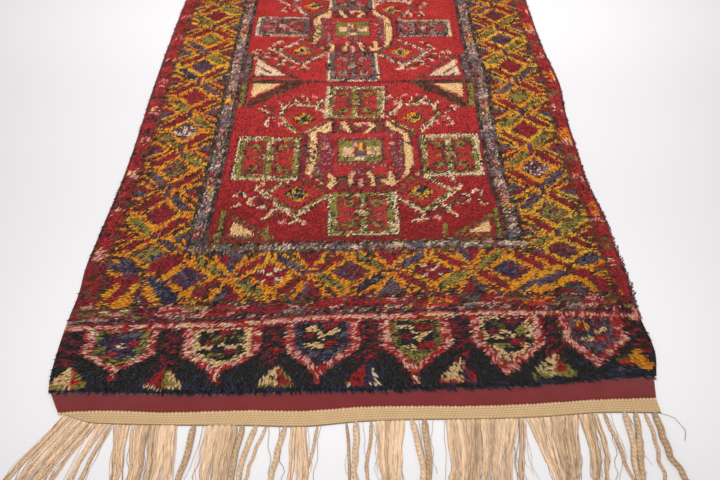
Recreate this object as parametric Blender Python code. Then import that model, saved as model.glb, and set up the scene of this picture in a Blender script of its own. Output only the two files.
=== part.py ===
# Anatolian rug lying flat, near end at -Y, metres, +Z up, underside of the cloth at z = 0
# Three solids: the rug, woven in one with its two red flat-woven ends, and an end band with fringe at each end
import math
import random

import bmesh
import bpy
from mathutils import Vector
from mathutils.geometry import delaunay_2d_cdt

mm = 0.001

# Lengths along the rug
pile_length = 2080 * mm
half_pile = pile_length / 2
fringe_length = 150 * mm
fringe_shortest = 0.78
fringe_longest = 1.06

# Heights
pile_height = 11.6 * mm
pile_relief = 0.9 * mm
rim_height = 7.0 * mm
kilim_thickness = 2.6 * mm
band_thickness = 3.2 * mm
strand_tip_thickness = 1.5 * mm

# Rim of the pile: how far the shoulder and the foot lie inside the outline, and how uneven the locks are
shoulder_inset = 10 * mm
foot_inset = 5 * mm
lock_reach = 2.4 * mm
crown_share = 0.15
rim_lean = {"near": -3.0 * mm, "far": -2.0 * mm, "left": 0.0, "right": 0.0}

# Gap between the red flat-woven end and the end band
band_gap = 0.3 * mm

# Strands of the fringe
strand_root_width = 5.6 * mm
strand_tip_width = 1.9 * mm
strand_share = 0.70
strand_least_pitch = 2.6 * mm
strand_stations = (0.0, 0.34, 0.68, 1.0)
lean_measured_at = 110 * mm
lean_growth = 1.25
band_longest_step = 24 * mm

# Spacing of the mesh
end_steps = 54
side_steps = 98
top_spacing = 46 * mm
bottom_spacing = 150 * mm

seed = 1973

# Sides of the pile in mm: distance from the near end, then x of the left and of the right edge
side_columns = ("along", "left", "right")
side_table = (
    (0, -553, 558),
    (30, -560, 560),
    (100, -567, 577),
    (180, -573, 577),
    (310, -576, 584),
    (400, -574, 577),
    (575, -566, 564),
    (740, -566, 566),
    (900, -571, 571),
    (1040, -575, 584),
    (1220, -577, 574),
    (1550, -577, 573),
    (1800, -573, 572),
    (1980, -568, 568),
    (2080, -556, 556),
)

# Lines across the near end in mm, from the near end of the pile: negative is outwards
end_columns = ("across", "pile", "kilim", "band")
end_table = (
    (-549, 4, -34, -41),
    (-469, 0, -29, -52),
    (-329, 0, -32, -57),
    (-189, 0, -28, -58),
    (-89, 2, -29, -60),
    (11, 7, -21, -50),
    (111, 9, -19, -46),
    (211, 8, -19, -45),
    (331, 19, -14, -41),
    (441, 32, -6, -32),
    (551, 40, -2, -32),
)
end_mean = {"pile": 0.0, "kilim": -30.0, "band": -58.0}
far_unevenness = 0.15

# Corners of the flat-woven end and of the end band in mm
kilim_left, kilim_right = -530, 551
band_inner_left, band_inner_right = -531, 552
band_outer_left, band_outer_right = -518, 553

# Locks of the fringe in mm: where each leaves the band, how far its two sides lean, and its strands
lock_columns = ("start", "end", "lean_start", "lean_end", "strands")
lock_table = (
    (-514, -455, -51, -49, 8),
    (-454, -428, -20, -24, 3),
    (-426, -398, 15, 3, 4),
    (-396, -317, 4, 12, 9),
    (-291, -276, -6, -6, 2),
    (-261, -206, 5, -4, 5),
    (-203, -190, -5, -8, 2),
    (-179, -166, -15, -16, 2),
    (-158, -150, -25, -26, 1),
    (-127, -114, -16, -20, 2),
    (-110, -86, -2, 5, 3),
    (-67, -60, -15, -18, 1),
    (-17, -10, 9, 7, 1),
    (-3, 11, -1, 0, 2),
    (27, 35, -11, -7, 1),
    (38, 92, 1, -6, 6),
    (95, 109, 4, 3, 2),
    (118, 133, -1, -6, 2),
    (165, 305, -7, -17, 16),
    (307, 353, 21, -7, 6),
    (355, 393, -2, -13, 5),
    (395, 438, -13, -7, 5),
    (445, 454, 15, 14, 1),
    (480, 494, -7, -9, 2),
    (501, 515, -14, -17, 2),
    (519, 528, -4, -3, 1),
    (533, 549, 0, 5, 2),
)

# Slow waves of the pile's surface and of the fringe: how high, how long, and which way
surface_waves = (
    {"height": 0.45 * mm, "length": 310 * mm, "heading": 0.4},
    {"height": 0.35 * mm, "length": 190 * mm, "heading": 1.9},
)
fringe_wave = {"height": 3.0 * mm, "across": 260 * mm, "along": 120 * mm}


def from_table(table, columns, name, at):
    # smooth curve through one column, held level past its ends
    column = columns.index(name)
    if at <= table[0][0]:
        return table[0][column]
    if at >= table[-1][0]:
        return table[-1][column]
    step = max(i for i, row in enumerate(table) if row[0] <= at)
    before, here = table[max(step - 1, 0)], table[step]
    there, after = table[step + 1], table[min(step + 2, len(table) - 1)]
    span = there[0] - here[0]
    part = (at - here[0]) / span
    slope_here = (there[column] - before[column]) / (there[0] - before[0])
    slope_there = (after[column] - here[column]) / (after[0] - here[0])
    square, cube = part * part, part * part * part
    start = (2 * cube - 3 * square + 1) * here[column] + (cube - 2 * square + part) * span * slope_here
    finish = (3 * square - 2 * cube) * there[column] + (cube - square) * span * slope_there
    return start + finish


def end_line(name, x, side):
    # y of a line across one end; side is -1 for the near end and 1 for the far end, turned half round
    across = -x * side / mm
    measured = from_table(end_table, end_columns, name, across)
    if side > 0:
        measured = end_mean[name] + far_unevenness * (measured - end_mean[name])
    return side * (half_pile - measured * mm)


def side_line(name, y):
    return from_table(side_table, side_columns, name, (y + half_pile) / mm) * mm


def surface_height(x, y):
    height = pile_height
    for wave in surface_waves:
        along = x * math.cos(wave["heading"]) + y * math.sin(wave["heading"])
        height += wave["height"] * math.sin(2 * math.pi * along / wave["length"])
    return height


def pile_outline():
    # anticlockwise from the near left corner, each point with the name of the edge it is on
    near_left = Vector((side_line("left", -half_pile), 0))
    near_right = Vector((side_line("right", -half_pile), 0))
    far_right = Vector((side_line("right", half_pile), 0))
    far_left = Vector((side_line("left", half_pile), 0))
    near_left.y = end_line("pile", near_left.x, -1)
    near_right.y = end_line("pile", near_right.x, -1)
    far_right.y = end_line("pile", far_right.x, 1)
    far_left.y = end_line("pile", far_left.x, 1)
    points = []
    for i in range(end_steps):
        x = near_left.x + (near_right.x - near_left.x) * i / end_steps
        points.append((Vector((x, end_line("pile", x, -1))), "near"))
    for i in range(side_steps):
        y = near_right.y + (far_right.y - near_right.y) * i / side_steps
        points.append((Vector((side_line("right", y), y)), "right"))
    for i in range(end_steps):
        x = far_right.x + (far_left.x - far_right.x) * i / end_steps
        points.append((Vector((x, end_line("pile", x, 1))), "far"))
    for i in range(side_steps):
        y = far_left.y + (near_left.y - far_left.y) * i / side_steps
        points.append((Vector((side_line("left", y), y)), "left"))
    return points


def inset_loop(points, distance):
    # points moved inwards, square to the outline
    moved = []
    for i, point in enumerate(points):
        before, after = points[i - 1], points[(i + 1) % len(points)]
        first = (point - before).normalized()
        second = (after - point).normalized()
        inward = Vector((-first.y - second.y, first.x + second.x)).normalized()
        spread = max(0.6, inward.dot(Vector((-first.y, first.x))))
        moved.append(point + inward * (distance / spread))
    return moved


def inside(point, loop, clearance):
    # even-odd test, and a least distance from the loop's points
    odd = False
    for i, a in enumerate(loop):
        b = loop[i - 1]
        if (a.y > point.y) != (b.y > point.y):
            if point.x < (b.x - a.x) * (point.y - a.y) / (b.y - a.y) + a.x:
                odd = not odd
    return odd and all((point - a).length > clearance for a in loop)


def filled(loop, spacing, jitter, numbers):
    # flat triangles over a loop, with points spread inside it
    points = list(loop)
    edges = [(i, (i + 1) % len(loop)) for i in range(len(loop))]
    low_x, high_x = min(p.x for p in loop), max(p.x for p in loop)
    low_y, high_y = min(p.y for p in loop), max(p.y for p in loop)
    across = int((high_x - low_x) / spacing)
    along = int((high_y - low_y) / spacing)
    for j in range(1, along):
        for i in range(1, across):
            x = low_x + (high_x - low_x) * (i + (j % 2) * 0.5) / across
            y = low_y + (high_y - low_y) * j / along
            spot = Vector((x + numbers.uniform(-jitter, jitter), y + numbers.uniform(-jitter, jitter)))
            if inside(spot, loop, spacing * 0.5):
                points.append(spot)
    found = delaunay_2d_cdt(points, edges, [], 1, 1e-7)
    return found[0], found[2], found[3]


def add_filled(bm, loop_verts, loop, spacing, jitter, height, upward, numbers):
    corners, faces, sources = filled(loop, spacing, jitter, numbers)
    verts = []
    for corner, source in zip(corners, sources):
        if source and source[0] < len(loop):
            verts.append(loop_verts[source[0]])
        else:
            verts.append(bm.verts.new((corner.x, corner.y, height(corner))))
    for face in faces:
        order = [verts[i] for i in face]
        area = sum(
            corners[face[i - 1]].x * corners[face[i]].y - corners[face[i]].x * corners[face[i - 1]].y
            for i in range(len(face))
        )
        if (area > 0) != upward:
            order.reverse()
        bm.faces.new(order)


def make_material(name, colour, roughness):
    material = bpy.data.materials.new(name)
    material.use_nodes = True
    shader = material.node_tree.nodes["Principled BSDF"]
    shader.inputs["Base Color"].default_value = (*colour, 1)
    shader.inputs["Roughness"].default_value = roughness
    return material


def finish_object(name, bm, material, smooth):
    bmesh.ops.recalc_face_normals(bm, faces=bm.faces)
    mesh = bpy.data.meshes.new(name)
    bm.to_mesh(mesh)
    bm.free()
    for polygon in mesh.polygons:
        polygon.use_smooth = smooth
    mesh.materials.append(material)
    thing = bpy.data.objects.new(name, mesh)
    bpy.context.scene.collection.objects.link(thing)
    return thing


def build_rug(material):
    # pile slab with a rounded uneven rim, and the thin flat-woven ends woven in one with it
    numbers = random.Random(seed)
    outline = pile_outline()
    points = [point for point, edge in outline]
    edges = [edge for point, edge in outline]
    count = len(points)
    shoulder = inset_loop(points, shoulder_inset)
    foot = inset_loop(points, foot_inset)
    bm = bmesh.new()

    shoulder_verts, rim_verts, foot_verts = [], [], []
    reach = [numbers.uniform(-lock_reach, lock_reach) for point in points]
    for i in range(count):
        fullness = reach[i] / lock_reach
        rim = points[i] - (foot[i] - points[i]).normalized() * reach[i]
        rim.y += rim_lean[edges[i]]
        shoulder[i] = shoulder[i] + (points[i] - shoulder[i]) * fullness * crown_share
        top = surface_height(shoulder[i].x, shoulder[i].y) + (fullness / 2 - 1) * pile_relief
        shoulder_verts.append(bm.verts.new((shoulder[i].x, shoulder[i].y, top)))
        rim_verts.append(bm.verts.new((rim.x, rim.y, rim_height + numbers.uniform(-1, 1) * pile_relief)))
        foot_verts.append(bm.verts.new((foot[i].x, foot[i].y, kilim_thickness)))
    for i in range(count):
        j = (i + 1) % count
        bm.faces.new((shoulder_verts[i], rim_verts[i], rim_verts[j], shoulder_verts[j]))
        bm.faces.new((rim_verts[i], foot_verts[i], foot_verts[j], rim_verts[j]))

    # corners of the outline, where the flat-woven ends begin and stop
    near_first, near_last = 0, end_steps
    far_first, far_last = end_steps + side_steps, 2 * end_steps + side_steps
    bottom_loop, bottom_verts = [], []

    def add_bottom(x, y):
        vert = bm.verts.new((x, y, 0))
        bottom_loop.append(Vector((x, y)))
        bottom_verts.append(vert)
        return vert

    def add_end(first, last, side):
        # thin flap from the foot of the pile to its outer edge
        left, right = kilim_left * mm, kilim_right * mm
        start_x, stop_x = (left, right) if side < 0 else (-left, -right)
        tops, bottoms = [], []
        corner = add_bottom(foot[first].x, foot[first].y)
        for i in range(first, last + 1):
            part = (i - first) / (last - first)
            x = start_x + (stop_x - start_x) * part
            y = end_line("kilim", x, side)
            tops.append(bm.verts.new((x, y, kilim_thickness)))
            bottoms.append(add_bottom(x, y))
        last_corner = add_bottom(foot[last].x, foot[last].y)
        for k in range(last - first):
            bm.faces.new((foot_verts[first + k], tops[k], tops[k + 1], foot_verts[first + k + 1]))
            bm.faces.new((tops[k], bottoms[k], bottoms[k + 1], tops[k + 1]))
        bm.faces.new((foot_verts[first], corner, bottoms[0], tops[0]))
        bm.faces.new((foot_verts[last], tops[-1], bottoms[-1], last_corner))
        return corner, last_corner

    def add_side(first, last, start):
        # upright foot of the pile along one side
        previous = start
        for i in range(first + 1, last):
            here = add_bottom(foot[i].x, foot[i].y)
            bm.faces.new((foot_verts[i - 1], previous, here, foot_verts[i]))
            previous = here
        return previous

    near_start, near_stop = add_end(near_first, near_last, -1)
    right_stop = add_side(near_last, far_first, near_stop)
    far_start, far_stop = add_end(far_first, far_last, 1)
    bm.faces.new((foot_verts[far_first - 1], right_stop, far_start, foot_verts[far_first]))
    left_stop = add_side(far_last, count, far_stop)
    bm.faces.new((foot_verts[count - 1], left_stop, near_start, foot_verts[0]))

    def top_height(spot):
        return surface_height(spot.x, spot.y) + numbers.uniform(-1, 1) * pile_relief

    add_filled(bm, shoulder_verts, shoulder, top_spacing, top_spacing * 0.22, top_height, True, numbers)
    add_filled(bm, bottom_verts, bottom_loop, bottom_spacing, 0, lambda spot: 0, False, numbers)
    return finish_object("rug", bm, material, True)


def strand_layout(numbers):
    # x at the root and at the measured distance for every strand, from left to right
    strands = []
    for row in lock_table:
        lock = dict(zip(lock_columns, row))
        for k in range(lock["strands"]):
            part = (k + 0.5) / lock["strands"]
            root = lock["start"] + (lock["end"] - lock["start"]) * part
            lean = lock["lean_start"] + (lock["lean_end"] - lock["lean_start"]) * part
            tip = root + lean * lean_growth * (fringe_length / lean_measured_at)
            length = fringe_length * numbers.uniform(fringe_shortest, fringe_longest)
            strands.append({"root": root * mm, "tip": tip * mm, "length": length})
    for k in range(1, len(strands)):
        strands[k]["tip"] = max(strands[k]["tip"], strands[k - 1]["tip"] + strand_least_pitch)
    return strands


def strand_x(strand, distance):
    straight = strand["root"] + (strand["tip"] - strand["root"]) * distance / fringe_length
    swing = 2 * math.pi * (straight / fringe_wave["across"] + distance / fringe_wave["along"])
    grown = min(1, distance / fringe_length)
    return straight + fringe_wave["height"] * grown * math.sin(swing)


def strand_width(strands, k, distance):
    # no wider than a share of the way to the nearest strand
    here = strand_x(strands[k], distance)
    nearest = strand_root_width / strand_share
    for other in (k - 1, k + 1):
        if 0 <= other < len(strands):
            nearest = min(nearest, abs(strand_x(strands[other], distance) - here))
    part = distance / strands[k]["length"]
    plain = strand_root_width + (strand_tip_width - strand_root_width) * part
    return min(plain, nearest * strand_share)


def build_fringe(name, side, material):
    # woven end band with its strands in one, lying level on the floor
    numbers = random.Random(seed + side)
    strands = strand_layout(numbers)
    bm = bmesh.new()
    turn = -side

    def place(x, y, z):
        return bm.verts.new((x * turn, y, z))

    # stations along the outer edge, each with the strand that leaves between it and the next one
    stations = [(band_outer_left * mm, None)]
    for k, strand in enumerate(strands):
        half = strand_width(strands, k, 0) / 2
        start = strand["root"] - half
        gap = start - stations[-1][0]
        fillers = int(gap / band_longest_step)
        before = stations[-1][0]
        for i in range(1, fillers + 1):
            stations.append((before + gap * i / (fillers + 1), None))
        stations.append((start, k))
        stations.append((strand["root"] + half, None))
    stations.append((band_outer_right * mm, None))

    outer_low, outer_high, inner_low, inner_high = [], [], [], []
    outer_span = (band_outer_right - band_outer_left) * mm
    inner_span = (band_inner_right - band_inner_left) * mm
    for x, strand in stations:
        share = (x - band_outer_left * mm) / outer_span
        inner_x = band_inner_left * mm + inner_span * share
        outer_y = end_line("band", x * turn, side)
        inner_y = end_line("kilim", inner_x * turn, side) + side * band_gap
        outer_low.append(place(x, outer_y, 0))
        outer_high.append(place(x, outer_y, band_thickness))
        inner_low.append(place(inner_x, inner_y, 0))
        inner_high.append(place(inner_x, inner_y, band_thickness))
    last = len(stations) - 1
    for i in range(last):
        bm.faces.new((inner_high[i], outer_high[i], outer_high[i + 1], inner_high[i + 1]))
        bm.faces.new((inner_low[i], inner_low[i + 1], outer_low[i + 1], outer_low[i]))
        bm.faces.new((inner_low[i], inner_high[i], inner_high[i + 1], inner_low[i + 1]))
        if stations[i][1] is None:
            bm.faces.new((outer_low[i], outer_low[i + 1], outer_high[i + 1], outer_high[i]))
    bm.faces.new((inner_low[0], outer_low[0], outer_high[0], inner_high[0]))
    bm.faces.new((inner_low[last], inner_high[last], outer_high[last], outer_low[last]))

    for i in range(last):
        k = stations[i][1]
        if k is None:
            continue
        strand = strands[k]
        ring = [outer_low[i], outer_low[i + 1], outer_high[i + 1], outer_high[i]]
        root_y = end_line("band", strand["root"] * turn, side)
        for station in strand_stations[1:]:
            distance = strand["length"] * station
            half = strand_width(strands, k, distance) / 2
            x = strand_x(strand, distance)
            y = root_y + side * distance
            top = band_thickness + (strand_tip_thickness - band_thickness) * station
            grown = [
                place(x - half, y, 0),
                place(x + half, y, 0),
                place(x + half, y, top),
                place(x - half, y, top),
            ]
            for c in range(4):
                d = (c + 1) % 4
                bm.faces.new((ring[c], ring[d], grown[d], grown[c]))
            ring = grown
        bm.faces.new(ring)
    return finish_object(name, bm, material, False)


for thing in list(bpy.data.objects):
    bpy.data.objects.remove(thing)

wool = make_material("wool_pile", (0.40, 0.035, 0.045), 0.95)
yarn = make_material("fringe_yarn", (0.55, 0.40, 0.22), 0.9)

build_rug(wool)
build_fringe("fringe_near", -1, yarn)
build_fringe("fringe_far", 1, yarn)
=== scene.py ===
import math

import bmesh
import bpy
import numpy as np
from mathutils import Matrix, Vector


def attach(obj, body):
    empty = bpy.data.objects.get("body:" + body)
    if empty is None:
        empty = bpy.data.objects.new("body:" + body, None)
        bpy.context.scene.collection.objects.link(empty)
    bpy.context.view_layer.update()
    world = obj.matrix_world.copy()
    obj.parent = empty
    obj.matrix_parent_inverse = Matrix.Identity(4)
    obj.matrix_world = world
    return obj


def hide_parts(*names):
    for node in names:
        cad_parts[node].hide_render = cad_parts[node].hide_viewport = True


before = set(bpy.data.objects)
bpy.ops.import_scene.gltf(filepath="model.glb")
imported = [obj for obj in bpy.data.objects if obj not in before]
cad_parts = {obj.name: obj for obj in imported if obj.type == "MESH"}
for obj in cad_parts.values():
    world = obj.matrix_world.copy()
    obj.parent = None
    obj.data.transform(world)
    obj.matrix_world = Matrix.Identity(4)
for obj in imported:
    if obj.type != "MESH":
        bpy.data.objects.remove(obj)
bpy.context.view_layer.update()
print("frame loaded:", sorted(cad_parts))

# The rug lies with its near end at -Y. The chart of knots is in mm across and along the pile,
# and the tables below say where its sides and its rows really lie.
rugShape = {
    "halfPile": 1.040,
    "halfChart": 575,
    "overhang": (8, 5),
    "overhangFrom": 60,
}

# sides of the pile in mm: distance from the near end, left edge, right edge
sideTable = (
    (0, -553, 558),
    (30, -560, 560),
    (100, -567, 577),
    (180, -569, 573),
    (260, -568, 575),
    (310, -573, 577),
    (400, -572, 574),
    (490, -569, 574),
    (575, -566, 565),
    (740, -566, 566),
    (900, -571, 571),
    (1040, -575, 584),
    (1220, -577, 574),
    (1550, -577, 573),
    (1800, -573, 572),
    (1980, -568, 568),
    (2080, -556, 556),
)

# lines across the near end in mm: place across, edge of the pile, of the red flat weave, of the end band
endTable = (
    (-549, 4, -34, -41),
    (-469, 0, -29, -52),
    (-329, 0, -32, -57),
    (-189, 0, -28, -58),
    (-89, 2, -29, -60),
    (11, 7, -21, -50),
    (111, 9, -19, -46),
    (211, 8, -19, -45),
    (331, 19, -14, -41),
    (441, 32, -6, -32),
    (551, 40, -2, -32),
)
endMean = {"pile": 0.0, "kilim": -30.0, "band": -58.0}
farUnevenness = 0.15

# how far the rows lie off their place in the chart, in mm, at five places across
rowStops = (-575, -290, 0, 290, 575)
rowTable = (
    (0, 4, 0, 6, 15, 40),
    (175, -20, -14, 8, 18, 12),
    (227, -22, -10, 11, 19, 16),
    (357, -3, -3, 6, 15, 8),
    (391, -2, -2, 3, 14, 8),
    (1045, 9, 6, -6, 8, 16),
    (1700, 3, 2, 0, 2, 4),
    (2080, 0, 0, 0, 0, 0),
)


def curveThrough(table, column, at):
    # smooth curve through one column of a table, held level past its ends
    stops = np.array([row[0] for row in table], dtype=float)
    values = np.array([row[column] for row in table], dtype=float)
    slopes = np.gradient(values, stops)
    at = np.clip(np.asarray(at, dtype=float), stops[0], stops[-1])
    step = np.clip(np.searchsorted(stops, at, side="right") - 1, 0, len(stops) - 2)
    span = stops[step + 1] - stops[step]
    t = (at - stops[step]) / span
    start = (2 * t**3 - 3 * t**2 + 1) * values[step] + (t**3 - 2 * t**2 + t) * span * slopes[step]
    finish = (3 * t**2 - 2 * t**3) * values[step + 1] + (t**3 - t**2) * span * slopes[step + 1]
    return start + finish


endColumns = {"pile": 1, "kilim": 2, "band": 3}


def endLine(name, x, side):
    # y of a line across one end, in metres; side is -1 near and 1 far
    across = -np.asarray(x) * side * 1000
    measured = curveThrough(endTable, endColumns[name], across)
    if side > 0:
        measured = endMean[name] + farUnevenness * (measured - endMean[name])
    return side * (rugShape["halfPile"] - measured / 1000)


def sideLine(column, y):
    return curveThrough(sideTable, column, (np.asarray(y) + rugShape["halfPile"]) * 1000) / 1000


# the lie of the pile at the same five places: degrees that the yarn ends turn away from straight down the rug
lieTable = (
    (0, -20, 10, 22, 38, 50),
    (45, -35, 5, 15, 35, 60),
    (83, -66, -34, -48, -55, 65),
    (140, -62, -26, -42, -46, 25),
    (216, -70, -34, -44, -50, -45),
    (334, -40, 6, -24, -38, -40),
    (476, -22, 8, -24, -38, -40),
    (678, -12, 6, -22, -8, -10),
    (943, -5, 3, -6, 0, 5),
    (1300, 0, 0, 0, 0, 0),
    (2080, 0, 0, 0, 0, 0),
)


def acrossTable(table, x, y):
    # a value from a table of rows with five places across
    stops = np.array([curveThrough(table, i + 1, y) for i in range(len(rowStops))])
    place = np.clip((x - rowStops[0]) / (rowStops[1] - rowStops[0]), 0, len(rowStops) - 1.001)
    step = place.astype(int)
    part = place - step
    part = part * part * (3 - 2 * part)
    before, after = (np.take_along_axis(stops, step[None] + i, 0)[0] for i in (0, 1))
    return before * (1 - part) + after * part


def layOut(x, y):
    # from the chart, in mm, to the rug on the floor, in metres
    realY = (y + acrossTable(rowTable, x, y)) / 1000 - rugShape["halfPile"]
    left, right = sideLine(1, realY), sideLine(2, realY)
    share = (x + rugShape["halfChart"]) / (2 * rugShape["halfChart"])
    # the pile hangs a little over the edge of its ground on both sides
    edge = np.clip(1 - (rugShape["halfChart"] - np.abs(x)) / rugShape["overhangFrom"], 0, 1)
    over = edge * np.where(x < 0, *rugShape["overhang"]) / 1000
    return left + (right - left) * share + np.sign(x) * over, realY


def addThing(name, data):
    thing = bpy.data.objects.new(name, data)
    bpy.context.scene.collection.objects.link(thing)
    return thing


def meshObject(name, verts, faces, material=None, smooth=False, edges=()):
    mesh = bpy.data.meshes.new(name)
    mesh.from_pydata([tuple(v) for v in verts], edges, [tuple(f) for f in faces])
    mesh.update()
    if smooth:
        mesh.polygons.foreach_set("use_smooth", [True] * len(mesh.polygons))
    if material:
        mesh.materials.append(material)
    return addThing(name, mesh)


def addField(thing, name, kind, values, domain="POINT"):
    # an attribute with its values
    label = {"FLOAT": "value", "FLOAT_VECTOR": "vector", "FLOAT_COLOR": "color"}[kind]
    values = np.asarray(values, dtype=np.float32).ravel()
    thing.data.attributes.new(name, kind, domain).data.foreach_set(label, values)


def withAlpha(colours):
    colours = np.asarray(colours).reshape(-1, 3)
    return np.concatenate([colours, np.ones((len(colours), 1))], 1)


def faceOutward(thing):
    bm = bmesh.new()
    bm.from_mesh(thing.data)
    bmesh.ops.recalc_face_normals(bm, faces=bm.faces)
    bm.to_mesh(thing.data)
    bm.free()


def feed(tree, node, inputs):
    # inputs are values, sockets to link, or nodes that stand for their first output
    for key, value in inputs.items():
        if isinstance(value, bpy.types.Node):
            value = next(socket for socket in value.outputs if socket.enabled)
        if isinstance(value, bpy.types.NodeSocket):
            tree.links.new(value, node.inputs[key])
        else:
            node.inputs[key].default_value = value


def addNode(tree, kind, inputs=None, **settings):
    node = tree.nodes.new(kind)
    for key, value in settings.items():
        setattr(node, key, value)
    feed(tree, node, inputs or {})
    return node


def maths(tree, operation, *values, **settings):
    return addNode(tree, "ShaderNodeMath", dict(enumerate(values)), operation=operation, **settings)


def vectors(tree, operation, inputs):
    return addNode(tree, "ShaderNodeVectorMath", inputs, operation=operation)


def arrange(tree):
    # each node stands in a column to the left of the nodes that it feeds
    columns = dict.fromkeys(tree.nodes.keys(), 0)
    for turn in range(len(columns)):
        for link in tree.links:
            source, target = link.from_node.name, link.to_node.name
            columns[source] = max(columns[source], columns[target] + 1)
    used = {}
    for node in tree.nodes:
        column = columns[node.name]
        used[column] = used.get(column, 0) + 1
        node.location = (-220 * column, -220 * used[column])


def startTree(name, inputs):
    # Geometry Nodes with a geometry in and out, and named inputs with their values
    tree = bpy.data.node_groups.new(name, "GeometryNodeTree")
    face = tree.interface
    face.new_socket("Geometry", in_out="INPUT", socket_type="NodeSocketGeometry")
    for label, value in inputs.items():
        kind = "NodeSocketInt" if isinstance(value, int) else "NodeSocketFloat"
        face.new_socket(label, in_out="INPUT", socket_type=kind).default_value = value
    face.new_socket("Geometry", in_out="OUTPUT", socket_type="NodeSocketGeometry")
    return tree, addNode(tree, "NodeGroupInput").outputs


def finishTree(tree, geometry, material):
    # the end of a tree, after Realize Instances
    smooth = addNode(tree, "GeometryNodeSetShadeSmooth", {"Geometry": geometry, "Shade Smooth": True})
    dressed = addNode(tree, "GeometryNodeSetMaterial", {"Geometry": smooth, "Material": material})
    addNode(tree, "NodeGroupOutput", {"Geometry": dressed})
    arrange(tree)
    return tree


def named(tree, name, kind="FLOAT"):
    return addNode(tree, "GeometryNodeInputNamedAttribute", {"Name": name}, data_type=kind)


def store(tree, geometry, name, value, **settings):
    inputs = {"Geometry": geometry, "Name": name, "Value": value}
    return addNode(tree, "GeometryNodeStoreNamedAttribute", inputs, **settings)


def grow(source, tree, values, name):
    # what a tree makes of a piece, as a mesh of its own
    modifier = source.modifiers.new(tree.name, "NODES")
    modifier.node_group = tree
    for socket in tree.interface.items_tree:
        if socket.name in values:
            modifier[socket.identifier] = values[socket.name]
    mesh = bpy.data.meshes.new_from_object(source.evaluated_get(bpy.context.evaluated_depsgraph_get()))
    mesh.name = name
    source.modifiers.clear()
    bpy.data.objects.remove(source)
    print(name, len(mesh.polygons), "faces")
    return addThing(name, mesh)


# Dyed yarns and the chart of knots
yarns = {
    "red": (0.765, 0.234, 0.228),
    "crimson": (0.670, 0.185, 0.205),
    "deepRed": (0.590, 0.165, 0.165),
    "scarlet": (0.860, 0.240, 0.210),
    "wine": (0.540, 0.170, 0.230),
    "orange": (1.000, 0.640, 0.155),
    "yellow": (0.990, 0.770, 0.240),
    "green": (0.600, 0.580, 0.290),
    "moss": (0.400, 0.390, 0.240),
    "blueGrey": (0.420, 0.420, 0.460),
    "navy": (0.245, 0.238, 0.345),
    "cream": (1.000, 0.840, 0.610),
    "ivory": (0.980, 0.880, 0.750),
    "pink": (0.960, 0.690, 0.640),
    "black": (0.180, 0.182, 0.180),
    "purple": (0.520, 0.360, 0.440),
    "brown": (0.470, 0.320, 0.260),
    "umber": (0.340, 0.215, 0.150),
    "grey": (0.690, 0.610, 0.570),
}
yarnNames = list(yarns)
paleNumbers = [yarnNames.index(name) for name in ("cream", "ivory", "pink")]

# the chart of knots, and how far in from the rug's end or side each band of the pattern reaches, in mm
chartPlan = {
    "knotsAcross": 233,
    "knotsAlong": 462,
    "knotWidth": 4.94,
    "knotLength": 4.502,
    "seed": 41,
    "length": 2080,
    "panel": 166,
    "pinkLine": 178,
    "endGuard": 227,
    "endLattice": 357,
    "endInner": 391,
    "sideGuard": 42,
    "sideLattice": 196,
    "sideInner": 243,
    "divide": 1045,
    "fieldHalf": 332,
}

# mixes of yarn, as they lie side by side in the mottled parts
mixes = {
    "redField": "red red red red red red red crimson red red red red",
    "deepField": "deepRed deepRed deepRed crimson deepRed",
    "pinkBlock": "pink crimson cream wine pink brown crimson red",
    "redBlock": "red crimson crimson wine crimson umber red",
    "darkRed": "wine crimson wine brown black",
    "orangeBlock": "orange orange scarlet brown orange wine",
    "oliveBlock": "brown moss wine crimson green brown",
    "greyBlock": "purple grey ivory wine grey umber moss blueGrey",
    "paleBlock": "ivory grey ivory umber grey pink blueGrey purple",
    "roseBlock": "crimson purple grey wine pink umber moss",
    "goldBlock": "yellow orange grey brown moss wine",
    "inkBlock": "navy blueGrey purple blueGrey grey",
    "dashLine": "black umber blueGrey umber moss black",
    "greyMottle": "moss black grey blueGrey brown purple",
    "squareRed": "crimson wine red crimson brown wine",
    "roseMottle": "crimson wine purple crimson brown wine red grey",
    "toothGround": "wine crimson brown wine moss crimson black",
    "boxGreen": "green green green moss",
    "blushCream": "cream pink cream ivory pink",
    "shade": "brown wine moss purple crimson black",
    "shadow": "umber brown moss wine umber black",
    "mottle": "brown moss green wine brown",
    "outline": "pink pink ivory crimson pink red pink red",
    "pinkLine": "pink pink ivory pink crimson pink cream",
    "goldLine": "orange orange yellow orange orange orange brown",
    "yellowLine": "yellow yellow orange yellow yellow moss",
    "wineBar": "wine crimson wine crimson wine umber",
    "greenBar": "green green moss green green umber",
    "greyBar": "blueGrey purple navy blueGrey umber",
    "navyBar": "navy navy blueGrey navy black",
    "inkCore": "navy navy blueGrey navy wine",
    "brownCore": "brown navy purple wine umber",
    "greenCore": "green moss green wine purple black",
    "greyCore": "blueGrey purple blueGrey ivory wine black",
    "greenLine": "green green moss green ivory green black",
    "greyLine": "moss blueGrey grey blueGrey black purple",
    "paleLine": "ivory ivory cream ivory ivory grey ivory black",
    "paleGreen": "ivory green ivory ivory moss black",
    "paleGrey": "ivory blueGrey ivory ivory blueGrey black",
    "creamSpeck": "cream cream cream cream ivory moss",
    "panelBlack": "black " * 15 + "navy",
    "edgeNavy": "black navy black navy black",
    "tanBlock": "cream pink brown wine pink green",
    "thicket": "moss purple black wine green",
    "dotColumn": "wine crimson wine wine",
}
mixNumbers = {name: np.array([yarnNames.index(yarn) for yarn in mix.split()]) for name, mix in mixes.items()}

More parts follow.
